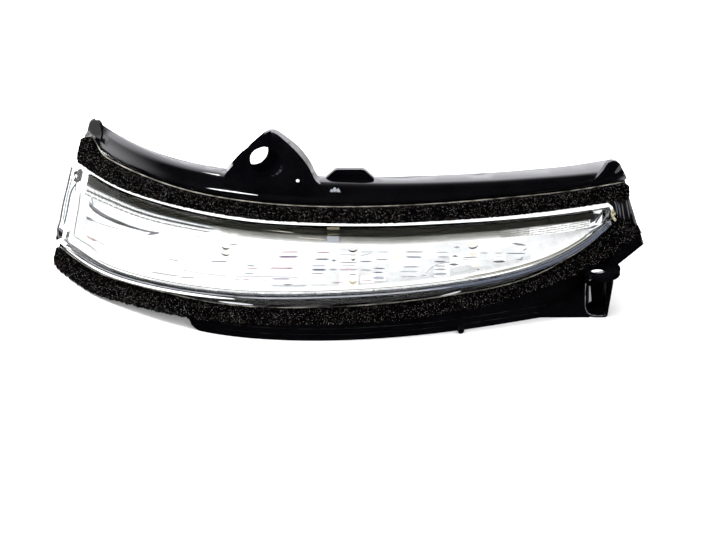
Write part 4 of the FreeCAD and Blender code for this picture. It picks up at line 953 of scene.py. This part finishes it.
# facets of the inboard tip
for poly_, key in [
        ([(76.6, 33.0), (78.8, 32.4), (77.1, 30.4), (75.6, 29.8), (75.6, 31.4)], "x"),
        ([(79.2, 32.9), (80.4, 33.6), (79.2, 31.6), (77.6, 29.6), (77.0, 29.5), (78.0, 31.2)], "k"),
        ([(81.6, 32.6), (82.3, 33.3), (81.4, 31.2), (79.6, 29.3), (78.9, 29.2), (80.4, 30.9)], "g"),
        ([(80.8, 29.6), (83.3, 29.2), (83.2, 28.5), (81.8, 28.6)], "l"),
        ([(74.1, 28.2), (76.4, 28.9), (78.4, 28.9), (76.4, 28.1)], "g"),
        ([(82.4, 30.9), (83.5, 30.6), (83.5, 29.9), (82.9, 29.9)], "y"),
        ([(82.0, 33.9), (82.9, 34.2), (83.3, 33.4), (82.4, 33.0)], "m")]:
    R.pad(poly_, 2.45, key, 0.14)
for pts, w_, key in [
        ([(74.8, 27.0), (77.6, 27.9), (80.4, 29.2)], 0.3, "s"), ([(73.4, 26.2), (77.0, 27.2), (80.6, 28.7)], 0.25, "k"),
        ([(80.2, 33.9), (79.4, 32.2)], 0.3, "k"), ([(76.0, 32.4), (77.6, 33.8)], 0.3, "l")]:
    R.line([(t, 2.35, z) for t, z in pts], w_, key, 0.14, taper=1.2)
R.pad([(82.3, 33.0), (83.2, 33.1), (83.6, 32.4), (83.5, 31.4), (82.9, 30.9), (82.3, 31.4)], 2.3, "y", 0.2)
R.pad([(82.6, 32.6), (83.2, 32.6), (83.3, 31.9), (82.7, 31.8)], 2.08, "o", 0.12)
R.build("mirror_lines", "reflector")

# ------------------------------------------------------------------ ridges moulded into the lens
R = Ridges()
for pts, w_, key, n in [
        ([(-102.05, 34.4), (-102.1, 26.6), (-102.1, 19.8), (-102.0, 14.8), (-101.9, 12.0), (-100.8, 10.9)], 0.7, "g", 0.04),
        ([(-99.3, 30.9), (-100.4, 27.4), (-100.4, 22.2), (-100.4, 15.9)], 0.7, "t", 0.04),
        ([(-101.2, 31.3), (-101.4, 23.0), (-101.0, 16.9)], 0.5, "l", 0.04),
        ([(-99.8, 10.0), (-95.4, 10.9), (-90.7, 11.3), (-86.3, 11.7), (-81.3, 12.1)], 0.2, "g", 0.04),
        ([(-99.1, 11.5), (-94.8, 12.3), (-90.2, 12.4), (-85.1, 12.7)], 0.18, "l", 0.04),
        ([(-100.9, 11.6), (-97.0, 12.6), (-93.0, 13.2)], 0.18, "l", 0.04)]:
    R.line([(t, n, z) for t, z in pts], w_, key, 0.42 if w_ > 0.6 else 0.3 if w_ > 0.4 else 0.1, taper=1.5)
# grey ridges on the lens tail; their grey is a painted highlight on their edges
for pts in ([(87.7, 32.9), (88.0, 30.0), (88.3, 26.9)], [(89.1, 33.6), (89.6, 30.4), (90.0, 27.3)], [(86.7, 33.0), (86.9, 30.4), (87.1, 28.2)]):
    R.line([(t, FACE, z) for t, z in pts], 0.3, m_dim_highlight, 0.3, taper=0.8)
R.line([(84.6, FACE, 34.6), (85.4, FACE, 33.6), (85.9, FACE, 31.0), (86.2, FACE, 29.2)], 0.4, "g", 0.3, taper=0.8)
R.line([(85.6, FACE, 34.4), (86.3, FACE, 33.0), (86.6, FACE, 30.6)], 0.2, "s", 0.25, taper=0.8)
# light slivers on the lower flange painted as highlights, a small nub painted white as a highlight, and a dark torn
# seal at the outboard top
R.line([(-46.9, FACE - 0.02, 10.4), (-41.2, FACE - 0.02, 10.5), (-34.9, FACE - 0.02, 10.6)], 0.55, m_highlight, 0.12, taper=4)
R.line([(27.0, FACE - 0.02, 11.8), (30.6, FACE - 0.02, 12.2), (33.9, FACE - 0.02, 12.7)], 0.5, m_highlight, 0.12, taper=1.5)
R.pad([(-102.1, 33.3), (-102.0, 35.0), (-100.9, 35.3), (-100.3, 35.2), (-100.6, 34.0), (-101.4, 33.3)], 1.2, m_edge_highlight, 0.8)
R.line([(-102.0, 0.36, 33.6), (-101.6, 0.36, 34.7), (-100.6, 0.36, 34.9)], 0.2, "g", 0.06)
R.line([(-101.9, 1.0, 33.0), (-100.9, 1.0, 31.6), (-100.1, 1.0, 30.0), (-99.7, 1.0, 27.0)], 0.5, "x", 0.2, taper=1.0)
R.pad([(-102.1, 31.7), (-101.2, 33.6), (-100.2, 34.6), (-99.5, 34.0), (-99.5, 30.9), (-100.6, 29.4), (-101.9, 29.2), (-101.1, 31.4)],
      2.1, "x", 0.1)
# near-white line painted as the highlight along the lens's lower edge
R.line([(t, 0.04, float(C["lens_low"](t)) + 0.3) for t in (-98, -90, -80, -70, -60, -50, -40)], 0.7, "m", 0.06, taper=14)
R.build("lens_ridges", "outer_lens")

# ------------------------------------------------------------------ small marks on the black moulding: light spots, a light line and grey bumps, all painted highlights
R = Ridges()
# light oval spot painted as a highlight
oval = [(-20.1 + 0.62 * math.cos(a), 49.75 + 0.42 * math.sin(a)) for a in np.linspace(0, 2 * math.pi, 16, endpoint=False)]
R.pad(oval, FACE + 0.5, "m", 0.12)
# light spot painted as a highlight
R.pad([(-8.7, 46.4), (-8.2, 47.3), (-7.6, 47.1), (-7.3, 47.7), (-6.6, 47.8), (-6.2, 47.1), (-5.6, 47.6), (-5.1, 46.9), (-4.9, 46.2),
       (-5.5, 46.5), (-6.0, 46.2), (-6.4, 46.8), (-6.9, 46.2), (-7.4, 46.7), (-7.9, 46.2), (-8.3, 46.6)], FACE + 0.65, "l", 0.12)
# light line painted as the highlight on the bevel above the upper foam
R.line([(-87.5, 5.8, 42.3), (-80.4, 5.8, 42.9), (-71.1, 5.8, 43.6), (-58.6, 5.8, 44.1), (-49.9, 5.8, 44.6), (-34.5, 5.8, 44.6)], 0.3, m_highlight, 0.14, taper=9)
# two small bumps whose grey is a painted highlight
for t, z in ((-102.9, 42.7), (-101.9, 42.8)):
    R.pad([(t + 0.5 * math.cos(a), z + 0.55 * math.sin(a)) for a in np.linspace(0, 2 * math.pi, 12, endpoint=False)], FACE + 0.4, m_dim_highlight, 0.5)
R.build("housing_highlights", None)

# ------------------------------------------------------------------ light rim of the screw channel and a streak down its wall, both painted highlights
def plate(quads, push, mat, name):
    """Prisms of the outlines in quads (mm, before the shift to the origin), each pushed out by the vector push."""
    vs, fs = [], []
    for q in quads:
        k_, m_ = len(vs), len(q)
        for d in (Vector((0, 0, 0)), Vector(push)):
            vs += [tuple((Vector(c_) + Vector((ORG_X, ORG_Y, 0)) + d) * MM) for c_ in q]
        fs += [tuple(range(k_, k_ + m_)), tuple(range(k_ + 2 * m_ - 1, k_ + m_ - 1, -1))]
        fs += [(k_ + j_, k_ + m_ + j_, k_ + m_ + (j_ + 1) % m_, k_ + (j_ + 1) % m_) for j_ in range(m_)]
    o = new_mesh(name, vs, fs, mat, False)
    fix_normals(o)
    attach(o, "root")
    return o


edge_ = [(71.35, 12.4), (71.4, 8.0), (71.6, 3.6), (71.9, 2.6), (72.5, 1.6), (73.6, 0.85), (75.2, 0.55), (77.4, 0.55), (78.2, 0.9)]
plate([[(a[0], 20.18, a[1]), (b_[0], 20.18, b_[1]), (b_[0] + 0.05, 20.18, b_[1] + 0.3), (a[0] + 0.28, 20.18, a[1] + 0.1)]
       for a, b_ in zip(edge_[:-1], edge_[1:])], (0, -0.1, 0), m_dim_highlight, "channel_rim_highlight")
plate([[(73.25, 26.62, 7.8), (73.45, 26.82, 7.8), (74.1, 27.3, 2.0), (73.2, 26.55, 2.0)]], (0.1, -0.12, 0), m_highlight, "channel_highlight_streak")

# ------------------------------------------------------------------ parts behind the mirror and on the back
m_board, nt, b, _ = material("solder_resist")
v = coords(nt)
br = nt.nodes.new("ShaderNodeTexBrick")
br.inputs["Scale"].default_value = 260
br.inputs["Mortar Size"].default_value = 0.06
nt.links.new(v, br.inputs["Vector"])
f = noise_tex(nt, v, 300, 2)
nt.links.new(mixc(nt, fmap(nt, br.outputs["Fac"], 0, 1, 0.0, 0.6), ramp(nt, f, [(0.3, (0.01, 0.10, 0.035)), (0.7, (0.016, 0.14, 0.05))]),
                  (0.03, 0.22, 0.09)), b.inputs["Base Color"])
setb(b, rough=0.35, spec=0.4)
m_chip = plain("chip_black", (0.02, 0.02, 0.021), 0.5, 0.3, 900, 0.3)
m_cap = plain("ceramic_tan", (0.45, 0.32, 0.19), 0.5, 0.3, 700, 0.15)
m_led = plain("led_package", (0.84, 0.77, 0.45), 0.3, 0.4, 600, 0.08)
m_res = plain("resistor_ceramic", (0.035, 0.035, 0.04), 0.45, 0.3, 800, 0.3)
m_tin = plain("tin_plate", (0.72, 0.69, 0.62), 0.3, 0.5, 500, 0.08, 1.0)
m_vent = plain("vent_fleece", (0.8, 0.8, 0.79), 0.9, 0.1, 2500, 0.12, 0.0, 0.5)
m_seal = plain("sealing_compound", (0.02, 0.02, 0.021), 0.7, 0.2, 500, 0.3)
for n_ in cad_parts:
    for start, m in (("circuit_board", m_board), ("driver_chip", m_chip), ("polarity_diode", m_chip), ("filter_capacitor", m_cap),
                     ("led_", m_led), ("resistor_", m_res), ("terminal_", m_tin), ("vent_membrane", m_vent), ("sealant_", m_seal)):
        if n_.startswith(start):
            dress(n_, m)

# ------------------------------------------------------------------ stage, light and camera
floor_m, nt, b, _ = material("pale_floor")
setb(b, base=(0.93, 0.93, 0.935), rough=0.9, spec=0.0)
fl = new_mesh("floor", [(-6, -6, -0.00002), (6, -6, -0.00002), (6, 6, -0.00002), (-6, 6, -0.00002)], [(0, 1, 2, 3)], floor_m, False)

world = bpy.data.worlds.new("studio")
bpy.context.scene.world = world
world.use_nodes = True
wt = world.node_tree
wt.nodes.clear()
wo = wt.nodes.new("ShaderNodeOutputWorld")
bgd = wt.nodes.new("ShaderNodeBackground")
bgs = wt.nodes.new("ShaderNodeBackground")
mix = wt.nodes.new("ShaderNodeMixShader")
lp = wt.nodes.new("ShaderNodeLightPath")
tc = wt.nodes.new("ShaderNodeTexCoord")
sep = wt.nodes.new("ShaderNodeSeparateXYZ")
wt.links.new(tc.outputs["Generated"], sep.inputs[0])
bgd.inputs["Color"].default_value = (1, 1, 1, 1)
wt.links.new(fmap(wt, lp.outputs["Is Transmission Ray"], 0.0, 1.0, 1.6, 2.6), bgd.inputs["Strength"])
# what shiny surfaces see: dark towards the front horizon, bright behind and above
back = fmap(wt, sep.outputs["Y"], -0.1, 0.4, 0.0, 1.0)
elev = ramp(wt, sep.outputs["Z"], [(0.0, (0.3, 0.3, 0.31)), (0.2, (0.6, 0.6, 0.63)), (0.34, (0.7, 0.7, 0.74)), (0.75, (0.66, 0.66, 0.7)), (1.0, (0.2, 0.2, 0.22))])
high = ramp(wt, sep.outputs["Z"], [(0.2, (0.0, 0.0, 0.0)), (0.45, (0.002, 0.002, 0.0025)), (0.8, (0.006, 0.006, 0.007)), (1.0, (0.06, 0.06, 0.065))])
col = mixc(wt, back, high, elev)
wt.links.new(col, bgs.inputs["Color"])
bgs.inputs["Strength"].default_value = 6.0
shiny = mathn(wt, "SUBTRACT", lp.outputs["Is Glossy Ray"], lp.outputs["Is Transmission Ray"], True)
wt.links.new(shiny, mix.inputs[0])
wt.links.new(bgd.outputs[0], mix.inputs[1])
wt.links.new(bgs.outputs[0], mix.inputs[2])
wt.links.new(mix.outputs[0], wo.inputs["Surface"])

# shaded table under the screw channel, seen through the opening in its floor
shade = new_mesh("shade_card", [tuple(Vector((a, b_, -0.015)) * MM + Vector((ORG_X, ORG_Y, 0)) * MM) for a, b_ in
                                ((72.4, 20.6), (78.6, 20.6), (78.6, 28.4), (72.4, 28.4))], [(0, 1, 2, 3)], m_mark["x"], False)

# dark card on the table in front of the lamp, seen only in glossy reflections
m_card, nt, b, _ = material("dark_card")
setb(b, base=(0.0, 0.0, 0.0), rough=1.0, spec=0.0)
card = new_mesh("dark_card", [(-6, -6, -0.00001), (6, -6, -0.00001), (6, 0.05, -0.00001), (-6, 0.05, -0.00001)], [(0, 1, 2, 3)], m_card, False)
for a_ in ("visible_camera", "visible_diffuse", "visible_transmission", "visible_shadow", "visible_volume_scatter"):
    setattr(card, a_, False)


def area(name, loc, target, size, power, color=(1, 1, 1)):
    L = bpy.data.lights.new(name, "AREA")
    L.energy, L.size, L.color = power, size, color
    o = bpy.data.objects.new(name, L)
    o.location = loc
    o.rotation_mode = "QUATERNION"
    o.rotation_quaternion = (Vector(target) - Vector(loc)).to_track_quat("-Z", "Y")
    bpy.context.scene.collection.objects.link(o)
    return o


area("key", (-0.5, -0.1, 0.9), (0, 0, 0.02), 0.25, 9.0)

cam = bpy.data.cameras.new("camera")
cam.lens, cam.sensor_width = 144.0, 36.0
cam.clip_start, cam.clip_end = 0.01, 50
co = bpy.data.objects.new("camera", cam)
tgt = Vector((ORG_X, -25.212, 22.0)) * MM
e_ = math.radians(29.0)
co.location = tgt + 0.9 * Vector((0, -math.cos(e_), math.sin(e_)))
co.rotation_mode = "QUATERNION"
co.rotation_quaternion = (tgt - co.location).to_track_quat("-Z", "Y")
bpy.context.scene.collection.objects.link(co)
bpy.context.scene.camera = co
bpy.context.scene.view_settings.view_transform = "Standard"
bpy.context.scene.cycles.max_bounces = 16
bpy.context.scene.cycles.transmission_bounces = 14
bpy.context.scene.cycles.glossy_bounces = 8
